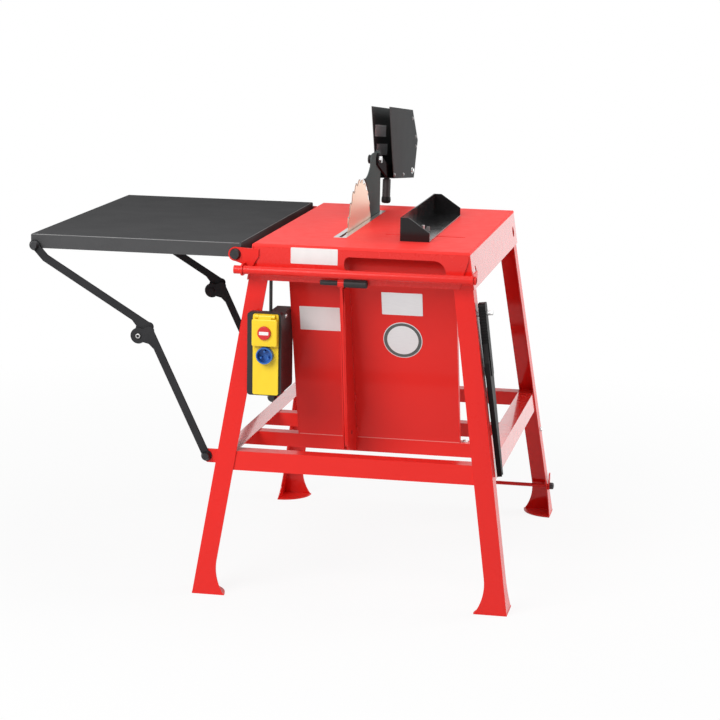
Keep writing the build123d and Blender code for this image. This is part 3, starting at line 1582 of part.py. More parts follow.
stick_face = stick_front + grip_pad
with BuildPart() as push_stick_screw:
    extrude(disc(stick_plane.offset(fit), 0, 0, stick_screw_radius), amount=stick_face + paint_gap)
    extrude(
        disc(stick_plane.offset(fit), 0, 0, stick_screw_radius + sheet),
        amount=stick_offset - paint_gap - fit,
    )
    collar_plane = stick_plane.offset(stick_face + paint_gap)
    extrude(disc(collar_plane, 0, 0, stick_screw_radius + sheet / 2), amount=stick_tail)
    head_plane = collar_plane.offset(stick_tail)
    extrude(hexagon(head_plane, 0, 0, 1.6 * stick_screw_radius), amount=1.3 * stick_screw_radius)
keep(push_stick_screw, "push_stick_screw")

# Rear axle rod with keepers and nuts outside the legs
keeper_low = axle_z - keeper_width / 2
keeper_x = outer_x(keeper_low) + fit
keeper_sheet = sheet
nut_x = keeper_x + keeper_sheet + fit
axle_half = nut_x + axle_nut_thickness + sheet
with BuildPart() as rear_axle:
    extrude(disc(Plane.YZ.offset(-axle_half), axle_y, axle_z, axle_radius), amount=2 * axle_half)
    for x_low in (nut_x, -nut_x - axle_nut_thickness):
        extrude(hexagon(Plane.YZ.offset(x_low), axle_y, axle_z, axle_nut_radius), amount=axle_nut_thickness)
    for x_low in (keeper_x, -keeper_x - keeper_sheet):
        with BuildSketch(Plane.YZ.offset(x_low)):
            with Locations((axle_y, keeper_low + keeper_height / 2)):
                RectangleRounded(keeper_width, keeper_height, keeper_width / 4)
            with Locations((axle_y, axle_z)):
                Circle(axle_radius + fit, mode=Mode.SUBTRACT)
        extrude(amount=keeper_sheet)
keep(rear_axle, "rear_axle")

# Move everything so that the origin is on the floor under the middle, and write it
boxes = [part.bounding_box() for part in pieces.values()]
middle_x = (min(box.min.X for box in boxes) + max(box.max.X for box in boxes)) / 2
middle_y = (min(box.min.Y for box in boxes) + max(box.max.Y for box in boxes)) / 2
os.makedirs("parts", exist_ok=True)
for name, part in pieces.items():
    placed = part.moved(Location((-middle_x, -middle_y, 0)))
    placed.label = name
    export_step(placed, f"parts/{name}.step")
print("moved by", -middle_x, -middle_y, "pieces", len(pieces))
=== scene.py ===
import json
import math

import bmesh
import bpy
from mathutils import Matrix, Vector


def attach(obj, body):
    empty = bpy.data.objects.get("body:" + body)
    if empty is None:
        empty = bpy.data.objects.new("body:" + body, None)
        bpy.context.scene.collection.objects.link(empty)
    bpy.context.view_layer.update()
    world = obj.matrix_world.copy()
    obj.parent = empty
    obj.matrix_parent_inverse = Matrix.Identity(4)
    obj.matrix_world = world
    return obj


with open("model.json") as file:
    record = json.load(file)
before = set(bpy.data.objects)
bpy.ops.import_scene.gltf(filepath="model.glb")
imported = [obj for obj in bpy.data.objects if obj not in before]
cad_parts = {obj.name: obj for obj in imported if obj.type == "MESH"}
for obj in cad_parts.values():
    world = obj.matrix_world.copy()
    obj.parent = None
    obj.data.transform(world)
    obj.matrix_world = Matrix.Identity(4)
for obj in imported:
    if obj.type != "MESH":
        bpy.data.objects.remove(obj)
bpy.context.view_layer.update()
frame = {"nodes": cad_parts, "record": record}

# Circular saw bench in red and black, in metres. Places are given in millimetres about
# the middle of the bench, as the bench was drawn, and moved to the shared frame by at().
scene = bpy.context.scene
BENCH_MIDDLE = (214.36374, -114.06979)


def at(x, y, z):
    """A place on the bench, from millimetres to the shared frame."""
    return Vector((x + BENCH_MIDDLE[0], y + BENCH_MIDDLE[1], z)) / 1000


# Camera at the photograph's angle
YAW, PITCH, ROLL = (math.radians(a) for a in (10.96, 11.30, 0.94))
CAMERA_PLACE = at(988, -5484, 1615)
SENSOR_WIDTH, LENS = 36, 110.65
aim = Vector((-math.sin(YAW) * math.cos(PITCH), math.cos(YAW) * math.cos(PITCH), -math.sin(PITCH)))
level = aim.cross(Vector((0, 0, 1))).normalized()
upright = level.cross(aim)
right = level * math.cos(ROLL) + upright * math.sin(ROLL)
over = upright * math.cos(ROLL) - level * math.sin(ROLL)
camera_data = bpy.data.cameras.new("photo_camera")
camera_data.sensor_width = SENSOR_WIDTH
camera_data.lens = LENS
camera_data.clip_end = 100
camera = bpy.data.objects.new("photo_camera", camera_data)
camera_turn = Matrix((right, over, -aim)).transposed().to_4x4()
camera.matrix_world = Matrix.Translation(CAMERA_PLACE) @ camera_turn
scene.collection.objects.link(camera)
scene.camera = camera


class Flow:
    """A value on its way through a finish; sums and products of it add Math nodes."""

    def __init__(self, finish, socket):
        self.finish = finish
        self.socket = socket

    def math(self, operation, *values):
        return self.finish.node("ShaderNodeMath", {"operation": operation}, dict(enumerate(values)))

    def __add__(self, other):
        return self.math("ADD", self, other)

    def __radd__(self, other):
        return self.math("ADD", other, self)

    def __sub__(self, other):
        return self.math("SUBTRACT", self, other)

    def __rsub__(self, other):
        return self.math("SUBTRACT", other, self)

    def __mul__(self, other):
        return self.math("MULTIPLY", self, other)

    def __gt__(self, other):
        return self.math("GREATER_THAN", self, other)

    def __lt__(self, other):
        return self.math("LESS_THAN", self, other)

    def wave(self):
        return self.math("SINE", self)

    def above(self, other):
        return self.math("MAXIMUM", self, other)


class Finish:
    """One material: its Principled surface and the nodes that vary it."""

    def __init__(self, name, tree=None):
        if tree is None:
            self.material = bpy.data.materials.new(name)
            self.material.use_nodes = True
            tree = self.material.node_tree
        self.tree = tree
        self.surface = tree.nodes.get("Principled BSDF")

    def node(self, kind, settings=None, sockets=None, out=0):
        made = self.tree.nodes.new(kind)
        for name, value in (settings or {}).items():
            setattr(made, name, value)
        for name, value in (sockets or {}).items():
            self.feed(made.inputs[name], value)
        return Flow(self, made.outputs[out])

    def feed(self, socket, value):
        if isinstance(value, Flow):
            self.tree.links.new(value.socket, socket)
        else:
            socket.default_value = value

    def wear(self, **sockets):
        for name, value in sockets.items():
            self.feed(self.surface.inputs[name.replace("_", " ")], value)

    def place(self, scale=(1, 1, 1), centre=(0, 0, 0)):
        spot = self.node("ShaderNodeTexCoord", out="Object")
        shift = tuple(-c * s for c, s in zip(centre, scale))
        return self.node("ShaderNodeMapping", None,
                         {"Vector": spot, "Location": shift, "Scale": scale})

    def across(self, centre):
        return self.node("ShaderNodeSeparateXYZ", None, {0: self.place(centre=centre)}, out="X")

    def grain(self, scale, detail=3.0, rough=0.55, stretch=(1, 1, 1), bend=0.0):
        return self.node("ShaderNodeTexNoise", {"noise_dimensions": "3D"},
                         {"Vector": self.place(stretch), "Scale": scale, "Detail": detail,
                          "Roughness": rough, "Distortion": bend})

    def tint(self, share, first, second):
        def paint(value):
            return value if isinstance(value, Flow) else (*value, 1.0)
        return self.node("ShaderNodeMix", {"data_type": "RGBA"},
                         {0: share, 6: paint(first), 7: paint(second)}, out=2)

    def step(self, value, low, high):
        return self.node("ShaderNodeMapRange", {"clamp": True},
                         {"Value": value, "From Min": low, "From Max": high})

    def seen(self):
        """1 for what the camera sees itself, in a mirror or through glass, else 0."""
        rays = [self.node("ShaderNodeLightPath", out=f"Is {kind} Ray")
                for kind in ("Camera", "Glossy", "Transmission")]
        return rays[0].above(rays[1]).above(rays[2])

    def dimple(self, height, strength, depth):
        bump = self.node("ShaderNodeBump", None,
                         {"Height": height, "Strength": strength, "Distance": depth})
        self.feed(self.surface.inputs["Normal"], bump)
        return self


def gloss_paint(name, colour, shade, coat, shine, rough, worn=False, bumps=0.05, sides=None):
    """Stoved paint: faint orange peel and uneven gloss, with rubbed streaks where it is worn,
    and an extra coat beyond a reach to both sides of a middle."""
    paint = Finish(name)
    peel = paint.grain(260.0, 2.0, 0.5)
    dull = paint.step(paint.grain(34.0, 4.0, 0.65), 0.35, 0.75)
    colours = paint.tint(paint.step(paint.grain(3.0, 2.0, 0.5), 0.3, 0.7), colour, shade)
    gloss = rough + dull * 0.08
    height = peel
    if worn:
        drag = paint.step(paint.grain(9.0, 5.0, 0.7, stretch=(42.0, 1.2, 42.0)), 0.62, 0.76)
        patch = paint.step(paint.grain(7.0, 3.0, 0.55), 0.46, 0.66)
        scuff = drag * patch
        gloss = gloss + scuff * 0.15
        colours = paint.tint(scuff * 0.08, colours, (0.9, 0.2, 0.18))
        height = peel - scuff * 0.5
    weight = coat - dull * (0.05 * coat)
    if sides:
        middle, reach, extra = sides
        across = paint.across((middle, 0, 0))
        weight = weight + (across * across > reach * reach) * extra
    paint.wear(Base_Color=colours, Roughness=gloss, Coat_Weight=weight,
               Coat_Roughness=0.08, Coat_IOR=1.5, IOR=1.5, Specular_IOR_Level=shine)
    return paint.dimple(height, bumps, 0.0006)


def powder_coat(name, colour, shade):
    """Black powder coat: fine pebbled grain, satin, a little rubbed along the work."""
    coat = Finish(name)
    pebble = coat.grain(520.0, 2.0, 0.5)
    cloud = coat.grain(11.0, 5.0, 0.62)
    rub = coat.step(coat.grain(16.0, 4.0, 0.7, stretch=(1.0, 9.0, 1.0)), 0.56, 0.78)
    colours = coat.tint(coat.step(cloud, 0.35, 0.7), colour, shade)
    coat.wear(Base_Color=coat.tint(rub * 0.1, colours, (0.09, 0.09, 0.095)),
              Roughness=0.44 + cloud * 0.1 - rub * 0.06, IOR=1.5, Specular_IOR_Level=0.0)
    return coat.dimple(pebble, 0.22, 0.0005)


def brushed(name, colour, shade, stretch, rough, bright=1.0):
    """Metal with a drawn or ground grain along one direction."""
    metal = Finish(name)
    streak = metal.grain(60.0, 5.0, 0.6, stretch=stretch)
    cloud = metal.grain(14.0, 3.0, 0.6)
    metal.wear(Base_Color=metal.tint(metal.step(streak, 0.3, 0.7), colour, shade), Metallic=bright,
               Roughness=rough - 0.06 + streak * 0.1 + cloud * 0.06)
    return metal.dimple(streak, 0.12, 0.0004)


def ground_disc(name, centre, core, colour, shade):
    """A saw plate: fine rings from the grinding wheel, a warm sheen, and edges that lie nearer to its
    middle plane than its faces do: rougher, less metallic, and painted darker as painted shade
    against the light that falls on the rim."""
    metal = Finish(name)
    spot = metal.place(centre=centre)
    radius = metal.node("ShaderNodeVectorMath", {"operation": "LENGTH"},
                        {0: metal.node("ShaderNodeVectorMath", {"operation": "MULTIPLY"},
                                       {0: spot, 1: (0.0, 1.0, 1.0)})}, out="Value")
    rings = metal.node("ShaderNodeTexNoise", {"noise_dimensions": "1D"},
                       {"W": radius * 900.0, "Scale": 1.0, "Detail": 3.0, "Roughness": 0.6})
    cloud = metal.grain(18.0, 4.0, 0.6)
    warm = metal.step(rings * 0.6 + cloud * 0.4, 0.35, 0.65)
    across = metal.across(centre)
    # The rim is painted darker: painted shade against the light that falls on it
    edge = across * across < core * core
    metal.wear(Base_Color=metal.tint(edge * 0.85, metal.tint(warm, colour, shade), (0.3, 0.17, 0.13)),
               Metallic=0.6 - edge * 0.4, Roughness=0.3 + rings * 0.1 + cloud * 0.06 + edge * 0.3)
    return metal.dimple(rings, 0.15, 0.0003)


def plated(name, colour, shade):
    """Zinc plate: small spangles and a slight passivated tint."""
    metal = Finish(name)
    cells = metal.node("ShaderNodeTexVoronoi", {"feature": "F1"},
                       {"Vector": metal.place(), "Scale": 420.0})
    cloud = metal.grain(60.0, 3.0, 0.6)
    mottle = metal.step(cells * 0.5 + cloud * 0.5, 0.25, 0.7)
    metal.wear(Base_Color=metal.tint(mottle, colour, shade), Metallic=1.0, Roughness=0.2 + cloud * 0.16)
    return metal.dimple(cells, 0.06, 0.0003)


def cast_metal(name, colour, shade, rough, bright, coarse):
    """Cast metal: sandy skin and uneven tone."""
    metal = Finish(name)
    sand = metal.grain(coarse, 4.0, 0.6)
    cloud = metal.grain(13.0, 4.0, 0.6)
    mottle = metal.step(sand * 0.4 + cloud * 0.6, 0.35, 0.65)
    metal.wear(Base_Color=metal.tint(mottle, colour, shade), Metallic=bright,
               Roughness=rough - 0.08 + sand * 0.16)
    return metal.dimple(sand, 0.3, 0.0007)


def moulded(name, colour, shade, rough, coarse=900.0, strength=0.12):
    """Moulded plastic: spark-eroded skin, flow marks, and a trace of handling."""
    plastic = Finish(name)
    skin = plastic.grain(coarse, 2.0, 0.5)
    flow = plastic.grain(26.0, 4.0, 0.6, stretch=(1.0, 1.0, 0.4), bend=0.6)
    touch = plastic.step(plastic.grain(38.0, 3.0, 0.6), 0.5, 0.75)
    plastic.wear(Base_Color=plastic.tint(plastic.step(flow, 0.3, 0.7), colour, shade),
                 Roughness=rough + flow * 0.1 - touch * 0.06, IOR=1.49)
    return plastic.dimple(skin, strength, 0.0004)


def ribbed_rubber(name, centre, pitch):
    """Belt rubber with ribs along the run, dusty in the grooves."""
    rubber = Finish(name)
    across = rubber.across(centre)
    rib = (across * (2 * math.pi / pitch)).wave() * 0.5 + 0.5
    dust = rubber.grain(90.0, 4.0, 0.6)
    dusty, clean = (0.035, 0.033, 0.03), (0.014, 0.014, 0.014)
    rubber.wear(Base_Color=rubber.tint(rib * 0.6 + dust * 0.4, dusty, clean), Roughness=0.62 + dust * 0.2)
    return rubber.dimple(rib, 0.5, 0.001)


blade_middle = at(-82, -3, 807.475)
BLADE_RADIUS, BLADE_CORE, TEETH = 0.1575, 0.00132, 24
RED, RED_SHADE = (0.80, 0.026, 0.020), (0.76, 0.022, 0.017)
finishes = {
    "red_paint": gloss_paint("red_gloss_paint", RED, RED_SHADE, 0.14, 0.15, 0.3),
    "black_paint": powder_coat("black_powder_coat", (0.078, 0.078, 0.08), (0.086, 0.086, 0.088)),
    "bright_steel": brushed("bright_steel", (0.64, 0.63, 0.62), (0.5, 0.5, 0.5), (30.0, 1.0, 30.0), 0.3),
    "blade_steel": ground_disc("blade_steel", blade_middle, BLADE_CORE, (1.0, 0.78, 0.61),
                               (0.97, 0.74, 0.57)),
    "knife_steel": powder_coat("blued_knife_steel", (0.087, 0.106, 0.104), (0.096, 0.116, 0.114)),
    "dark_steel": cast_metal("blackened_steel", (0.03, 0.03, 0.032), (0.055, 0.055, 0.058), 0.38, 0.7, 300.0),
    "zinc": plated("zinc_plate", (0.66, 0.66, 0.64), (0.52, 0.53, 0.54)),
    "cast_iron": cast_metal("cast_iron", (0.11, 0.11, 0.115), (0.17, 0.17, 0.175), 0.62, 0.5, 260.0),
    "motor_alloy": cast_metal("motor_alloy", (0.3, 0.31, 0.33), (0.38, 0.39, 0.41), 0.46, 0.55, 340.0),
    "belt_rubber": ribbed_rubber("belt_rubber", at(2, 0, 0), 0.0035),
    "lead_rubber": moulded("lead_rubber", (0.014, 0.014, 0.015), (0.022, 0.022, 0.023), 0.5, 600.0, 0.1),
    "black_plastic": moulded("black_plastic", (0.018, 0.018, 0.019), (0.028, 0.027, 0.028), 0.42),
    "yellow_plastic": moulded("yellow_plastic", (0.93, 0.66, 0.02), (0.9, 0.6, 0.015), 0.3),
    "red_plastic": moulded("red_plastic", (0.68, 0.02, 0.022), (0.6, 0.014, 0.016), 0.28),
    "green_plastic": moulded("green_plastic", (0.03, 0.34, 0.09), (0.024, 0.28, 0.07), 0.3),
    "blue_plastic": moulded("blue_plastic", (0.03, 0.16, 0.52), (0.022, 0.12, 0.42), 0.3),
}

# The side skirts lie beyond this reach and carry a heavier coat than the front and rear ones
SKIRT_REACH = 0.2615
# The table top is a lighter red than the skirts of the same folded sheet: painted light from above. The
# rubbed streaks on it are wear.
lit_and_worn_table_paint = gloss_paint("lit_and_worn_table_paint", (0.98, 0.052, 0.044), (0.97, 0.047, 0.04), 0.0, 0.08, 0.45,
                          worn=True)
skirt_paint = gloss_paint("skirt_gloss_paint", RED, RED_SHADE, 0.3, 0.25, 0.24, bumps=0.008,
                          sides=(BENCH_MIDDLE[0] / 1000, SKIRT_REACH, 0.7))
side_paint = gloss_paint("side_gloss_paint", RED, RED_SHADE, 1.0, 0.5, 0.22, bumps=0.008)
leg_paint = gloss_paint("leg_gloss_paint", (0.79, 0.016, 0.011), (0.75, 0.014, 0.01), 0.5, 0.05, 0.26,
                        bumps=0.015)
# Lighter red for a painted highlight along the front panels' lower edges
panel_edge_highlight_paint = gloss_paint("panel_edge_highlight_paint", (0.86, 0.22, 0.2), (0.84, 0.18, 0.16), 0.3, 0.3, 0.3)
fence_paint = gloss_paint("fence_gloss_black", (0.006, 0.006, 0.0065), (0.009, 0.009, 0.0095),
                          0.0, 0.32, 0.12)
# The spine inside the guard's hood gets a darker black than the hood's plates, with no gloss: painted shade
# inside the hood
guard_inside_painted_shade = gloss_paint("guard_painted_shade_black", (0.03, 0.03, 0.031), (0.04, 0.04, 0.041), 0.0, 0.0, 0.35)
guard_coat = powder_coat("guard_black_coat", (0.079, 0.083, 0.084), (0.086, 0.09, 0.091))
stay_black = powder_coat("stay_black_coat", (0.032, 0.032, 0.034), (0.041, 0.041, 0.043))
# Light grey for painted highlights along the side table's edges
painted_highlight_grey = powder_coat("painted_edge_highlight_grey", (0.3, 0.3, 0.3), (0.22, 0.22, 0.22))
stick_black = moulded("stick_black_plastic", (0.008, 0.008, 0.0085), (0.013, 0.013, 0.0135), 0.4)
rivet_grey = cast_metal("rivet_grey", (0.2, 0.2, 0.2), (0.28, 0.28, 0.28), 0.45, 0.4, 500.0)
carbide = cast_metal("tooth_carbide", (0.14, 0.13, 0.13), (0.22, 0.21, 0.2), 0.34, 0.9, 500.0)
reflection_patch_grey = moulded("guard_reflection_patch_grey", (0.82, 0.82, 0.84), (0.88, 0.88, 0.9), 0.5, 500.0, 0.1)
badge_dark = moulded("badge_dark_band", (0.07, 0.085, 0.08), (0.1, 0.115, 0.11), 0.4)
blank_vinyl = moulded("blank_white_vinyl", (0.86, 0.85, 0.84), (0.8, 0.79, 0.78), 0.34, 300.0, 0.05)
blank_silver = brushed("blank_silver_plate", (0.78, 0.78, 0.78), (0.7, 0.7, 0.71), (1.0, 30.0, 30.0),
                       0.36, 0.75)
finishes["black_plastic"].wear(Specular_IOR_Level=0.3)
stick_black.wear(Specular_IOR_Level=0.1)

own_finish = {"table_top": lit_and_worn_table_paint, "table_skirts": skirt_paint, "fence_body": fence_paint,
              "fence_wing_nut": rivet_grey, "guard_spine": guard_inside_painted_shade, "guard_plates": guard_coat,
              "side_stretchers": side_paint, "push_stick": stick_black}
for end in ("front", "rear"):
    own_finish.update({f"leg_{end}_{side}": leg_paint for side in ("left", "right")})
    own_finish.update({f"stay_{arm}_{end}": stay_black for arm in ("upper", "lower")})

for part in frame["record"]["subparts"]:
    finish = own_finish.get(part["node"], finishes[part["material_slot"]])
    for seat in frame["nodes"][part["node"]].material_slots:
        seat.material = finish.material


def settle(obj, finish, body):
    """A finished piece gets its material and rides on its body."""
    obj.data.materials.clear()
    obj.data.materials.append(finish.material)
    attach(obj, body)


def from_bmesh(name, shape):
    """An object in the scene, made of a shape that is then freed."""
    bmesh.ops.recalc_face_normals(shape, faces=shape.faces)
    mesh = bpy.data.meshes.new(name)
    shape.to_mesh(mesh)
    shape.free()
    obj = bpy.data.objects.new(name, mesh)
    scene.collection.objects.link(obj)
    return obj


class Rule:
    """A Geometry Nodes tree that sets one shape on many points that carry an aim."""

    def __init__(self, name, **sizes):
        self.tree = bpy.data.node_groups.new(name, "GeometryNodeTree")
        face = self.tree.interface
        face.new_socket("Geometry", in_out="INPUT", socket_type="NodeSocketGeometry")
        self.sizes = {}
        for size, value in sizes.items():
            socket = face.new_socket(size, in_out="INPUT", socket_type="NodeSocketFloat")
            socket.default_value = value
            self.sizes[size] = socket.identifier
        finish = face.new_socket("finish", in_out="INPUT", socket_type="NodeSocketMaterial")
        self.finish = finish.identifier
        face.new_socket("Geometry", in_out="OUTPUT", socket_type="NodeSocketGeometry")
        self.given = self.tree.nodes.new("NodeGroupInput")
        self.parts = []

    def node(self, kind, settings=None, sockets=None):
        made = self.tree.nodes.new(kind)
        for name, value in (settings or {}).items():
            setattr(made, name, value)
        for name, value in (sockets or {}).items():
            if isinstance(value, bpy.types.NodeSocket):
                self.tree.links.new(value, made.inputs[name])
            else:
                made.inputs[name].default_value = value
        return made

    def size(self, name, factor=None):
        given = self.given.outputs[name]
        if factor is None:
            return given
        return self.node("ShaderNodeMath", {"operation": "MULTIPLY"}, {0: given, 1: factor}).outputs[0]

    def named(self, name):
        made = self.node("GeometryNodeInputNamedAttribute", {"data_type": "FLOAT_VECTOR"}, {"Name": name})
        return made.outputs[0]

    def lift(self, height):
        return self.node("ShaderNodeCombineXYZ", None, {"Z": height}).outputs[0]

    def drum(self, sides, radius, top, depth, base=0.0):
        """A cone or prism that stands on the seat, from base upwards."""
        cone = self.node("GeometryNodeMeshCone", {"fill_type": "NGON"},
                         {"Vertices": sides, "Radius Top": top, "Radius Bottom": radius, "Depth": depth})
        moved = self.node("GeometryNodeTransform", None,
                          {"Geometry": cone.outputs["Mesh"], "Translation": self.lift(base)})
        self.parts.append(moved.outputs[0])

    def block(self, size, shift):
        cube = self.node("GeometryNodeMeshCube", None, {"Size": size})
        moved = self.node("GeometryNodeTransform", None,
                          {"Geometry": cube.outputs["Mesh"], "Translation": shift})
        self.parts.append(moved.outputs[0])

    def close(self):
        """Joins the shape's parts, sets it on the points along their aim, and gives the finish."""
        joined = self.node("GeometryNodeJoinGeometry")
        for part in self.parts:
            self.tree.links.new(part, joined.inputs[0])
        up = self.node("FunctionNodeAlignRotationToVector", {"axis": "Z"}, {"Vector": self.named("aim")})
        round_up = self.node("FunctionNodeAlignRotationToVector", {"axis": "X", "pivot_axis": "Z"},
                             {"Rotation": up.outputs[0], "Vector": self.named("side")})
        spread = self.node("GeometryNodeInstanceOnPoints", None,
                           {"Points": self.given.outputs["Geometry"], "Instance": joined.outputs[0],
                            "Rotation": round_up.outputs[0]})
        real = self.node("GeometryNodeRealizeInstances", None, {"Geometry": spread.outputs[0]})
        dressed = self.node("GeometryNodeSetMaterial", None,
                            {"Geometry": real.outputs[0], "Material": self.given.outputs["finish"]})
        self.node("NodeGroupOutput", None, {"Geometry": dressed.outputs[0]})

    def make(self, name, seats, finish, body, slot, **sizes):
        """One mesh with the shape on every seat: (place, aim, side)."""
        points = bpy.data.meshes.new(name)
        points.from_pydata([seat[0] for seat in seats], [], [])
        for attribute, column in (("aim", 1), ("side", 2)):
            store = points.attributes.new(attribute, "FLOAT_VECTOR", "POINT")
            for index, seat in enumerate(seats):
                store.data[index].vector = seat[column]
        obj = bpy.data.objects.new(name, points)
        scene.collection.objects.link(obj)
        rule = obj.modifiers.new("rule", "NODES")
        rule.node_group = self.tree
        for size, value in sizes.items():
            rule[self.sizes[size]] = value
        rule[self.finish] = finish.material
        solved = obj.evaluated_get(bpy.context.evaluated_depsgraph_get())
        made = bpy.data.meshes.new_from_object(solved)
        made.name = name
        obj.modifiers.clear()
        obj.data = made
        settle(obj, finish, body)


# A hex screw on a washer, with a chamfered head
hex_screw = Rule("hex_screw", head=0.0065, washer=0.009)
washer, washer_top = hex_screw.size("washer"), hex_screw.size("washer", 0.16)
head, head_rise = hex_screw.size("head"), hex_screw.size("head", 0.5)
head_top = hex_screw.node("ShaderNodeMath", {"operation": "ADD"}, {0: washer_top, 1: head_rise}).outputs[0]
hex_screw.drum(20, washer, hex_screw.size("washer", 0.97), washer_top)
hex_screw.drum(6, head, head, head_rise, washer_top)
hex_screw.drum(6, head, hex_screw.size("head", 0.84), hex_screw.size("head", 0.14), head_top)
hex_screw.close()

# A domed rivet: a low ring of steps that round over
dome_rivet = Rule("dome_rivet", head=0.0045)
for low, high, base, rise in ((1.0, 0.96, 0.0, 0.3), (0.96, 0.78, 0.3, 0.3), (0.78, 0.4, 0.6, 0.22)):
    dome_rivet.drum(16, dome_rivet.size("head", low), dome_rivet.size("head", high),
                    dome_rivet.size("head", rise), dome_rivet.size("head", base))
dome_rivet.close()

# A brazed tooth tip: a small block on the tooth's leading face
tooth_tip = Rule("tooth_tip")
tooth_tip.block((0.0036, 0.0022, 0.007), (0.0, -0.0006, -0.0033))
tooth_tip.close()

# A moulded grip rib: a bar with a narrower crest
grip_rib = Rule("grip_rib")
grip_rib.block((0.0168, 0.0034, 0.0012), (0.0, 0.0, 0.0004))
grip_rib.block((0.0154, 0.0020, 0.0008), (0.0, 0.0, 0.0013))
grip_rib.close()

X, Y, Z = Vector((1, 0, 0)), Vector((0, 1, 0)), Vector((0, 0, 1))

# Rivets and the clamp bolt through the guard, both sides
GUARD_RIGHT, GUARD_LEFT = -57, -107
guard_spots = ((622, 1068), (680, 1012), (684, 984), (349, 940), (488, 926))
rivet_seats = [(at(GUARD_RIGHT, y, z), X, Y) for y, z in guard_spots]
rivet_seats += [(at(GUARD_LEFT, y, z), -X, Y) for y, z in guard_spots]
dome_rivet.make("guard_rivets", rivet_seats, rivet_grey, "guard", "zinc", head=0.0052)
bolt_seats = [(at(GUARD_RIGHT, 634, 921), X, Y), (at(GUARD_LEFT, 634, 921), -X, Y)]
hex_screw.make("guard_corner_bolts", bolt_seats, finishes["zinc"], "guard", "zinc",
               head=0.0065, washer=0.0095)

# Screws of the switch bracket
bracket_seats = [(at(-185.7, y, z), X, Y) for y, z in ((-372, 673), (-414, 524))]
hex_screw.make("switch_bracket_screws", bracket_seats, finishes["zinc"], "bench", "zinc",
               head=0.004, washer=0.006)

# Tooth tips on the blade's leading edges
tips = []
for tooth in range(TEETH):
    turn = tooth * math.tau / TEETH
    outward = Vector((0, math.cos(turn), math.sin(turn)))
    tips.append((blade_middle + outward * BLADE_RADIUS, outward, X))
tooth_tip.make("blade_tooth_tips", tips, carbide, "arbor", "dark_steel")

# Ribs across both narrow edges of the push stick's grip
LEG_RUN, LEG_RISE, STICK_LEAN = 113.478, 762, math.radians(1.0)
stick_turn = math.atan2(LEG_RUN, LEG_RISE) - STICK_LEAN
lean = Vector((math.cos(stick_turn), 0, math.sin(stick_turn)))
climb = Vector((-math.sin(stick_turn), 0, math.cos(stick_turn)))
hang = at(280.458, -378, 702) + lean * 0.0135
ribs = [(hang + Y * (0.016 * side) + climb * (0.001 * step), Y * side, lean)
        for side in (-1, 1) for step in range(-66, 18, 7)]
grip_rib.make("push_stick_ribs", ribs, stick_black, "push_stick", "black_plastic")


def plate(name, corner, along, up, width, height, thickness, radius, finish, body):
    """A thin plate with round corners, laid on a surface, with a softened rim."""
    out = along.cross(up).normalized()
    rim = []
    for cx, cy, start in ((width - radius, height - radius, 0), (radius, height - radius, 90),
                          (radius, radius, 180), (width - radius, radius, 270)):
        for turn in range(0, 91, 15):
            angle = math.radians(start + turn)
            rim.append((cx + radius * math.cos(angle), cy + radius * math.sin(angle)))
    shape = bmesh.new()
    rows = []
    for depth, shrink in ((0.0, 0.0), (thickness * 0.6, 0.0), (thickness, thickness * 0.6)):
        row = []
        for u, v in rim:
            su = width / 2 + (u - width / 2) * (1 - 2 * shrink / width)
            sv = height / 2 + (v - height / 2) * (1 - 2 * shrink / height)
            row.append(shape.verts.new(corner + along * su + up * sv + out * depth))
        rows.append(row)
    for low, high in zip(rows, rows[1:]):
        for i in range(len(rim)):
            j = (i + 1) % len(rim)
            shape.faces.new((low[i], low[j], high[j], high[i]))
    shape.faces.new(rows[-1])
    shape.faces.new(list(reversed(rows[0])))
    settle(from_bmesh(name, shape), finish, body)


PANEL_TOP_Y, PANEL_TOP_Z, PANEL_RUN, PANEL_DROP = -369, 847, 152, 500
panel_up = Vector((0, -PANEL_RUN, PANEL_DROP)).normalized()
panel_out = X.cross(panel_up).normalized()


def on_panel(x, z):
    """A place on the sloping front panels."""
    return at(x, PANEL_TOP_Y + PANEL_RUN * (PANEL_TOP_Z - z) / PANEL_DROP, z)


# Blank plates where the labels are
for name, corner, up, width, height, thickness, finish, slot in (
        ("blank_front_label", at(-168, -402.5, 806), Z, 0.114, 0.0385, 0.0004, blank_vinyl, "red_paint"),
        ("blank_side_label", on_panel(-164, 629), panel_up, 0.1, 0.0635, 0.0004, blank_vinyl, "red_paint"),
        ("blank_data_plate", on_panel(40, 679), panel_up, 0.1, 0.0595, 0.0008, blank_silver, "zinc")):
    plate(name, corner, X, up, width, height, thickness, 0.002, finish, "bench")


def turned(name, centre, axis, profile, finish, body, ring=False, sides=48):
    """A round piece: the profile of (radius, height) goes round the axis."""
    across = axis.orthogonal().normalized()
    beside = axis.cross(across)
    shape = bmesh.new()
    rows = []
    for radius, height in profile:
        row = []
        for side in range(sides):
            angle = math.tau * side / sides
            spoke = across * math.cos(angle) + beside * math.sin(angle)
            row.append(shape.verts.new(centre + axis * height + spoke * radius))
        rows.append(row)
    for low, high in zip(rows, rows[1:] + rows[:1] if ring else rows[1:]):
        for i in range(sides):
            j = (i + 1) % sides
            shape.faces.new((low[i], low[j], high[j], high[i]))
    if not ring:
        shape.faces.new(rows[-1])
        shape.faces.new(list(reversed(rows[0])))
    settle(from_bmesh(name, shape), finish, body)


# Two light grey patches inside the guard's far plate, lying along its slope: a painted reflection of light
# coming in through the guard's open side
guard_slope_along = Vector((0, 0.995, -0.0995))
guard_slope_up = X.cross(guard_slope_along).normalized()
for name, y, z in (("upper", 318, 1044), ("lower", 343, 991)):
    plate(f"guard_reflection_patch_{name}", at(-104.98, y, z), guard_slope_along, guard_slope_up, 0.16, 0.031, 0.0006, 0.001,
          reflection_patch_grey, "guard")

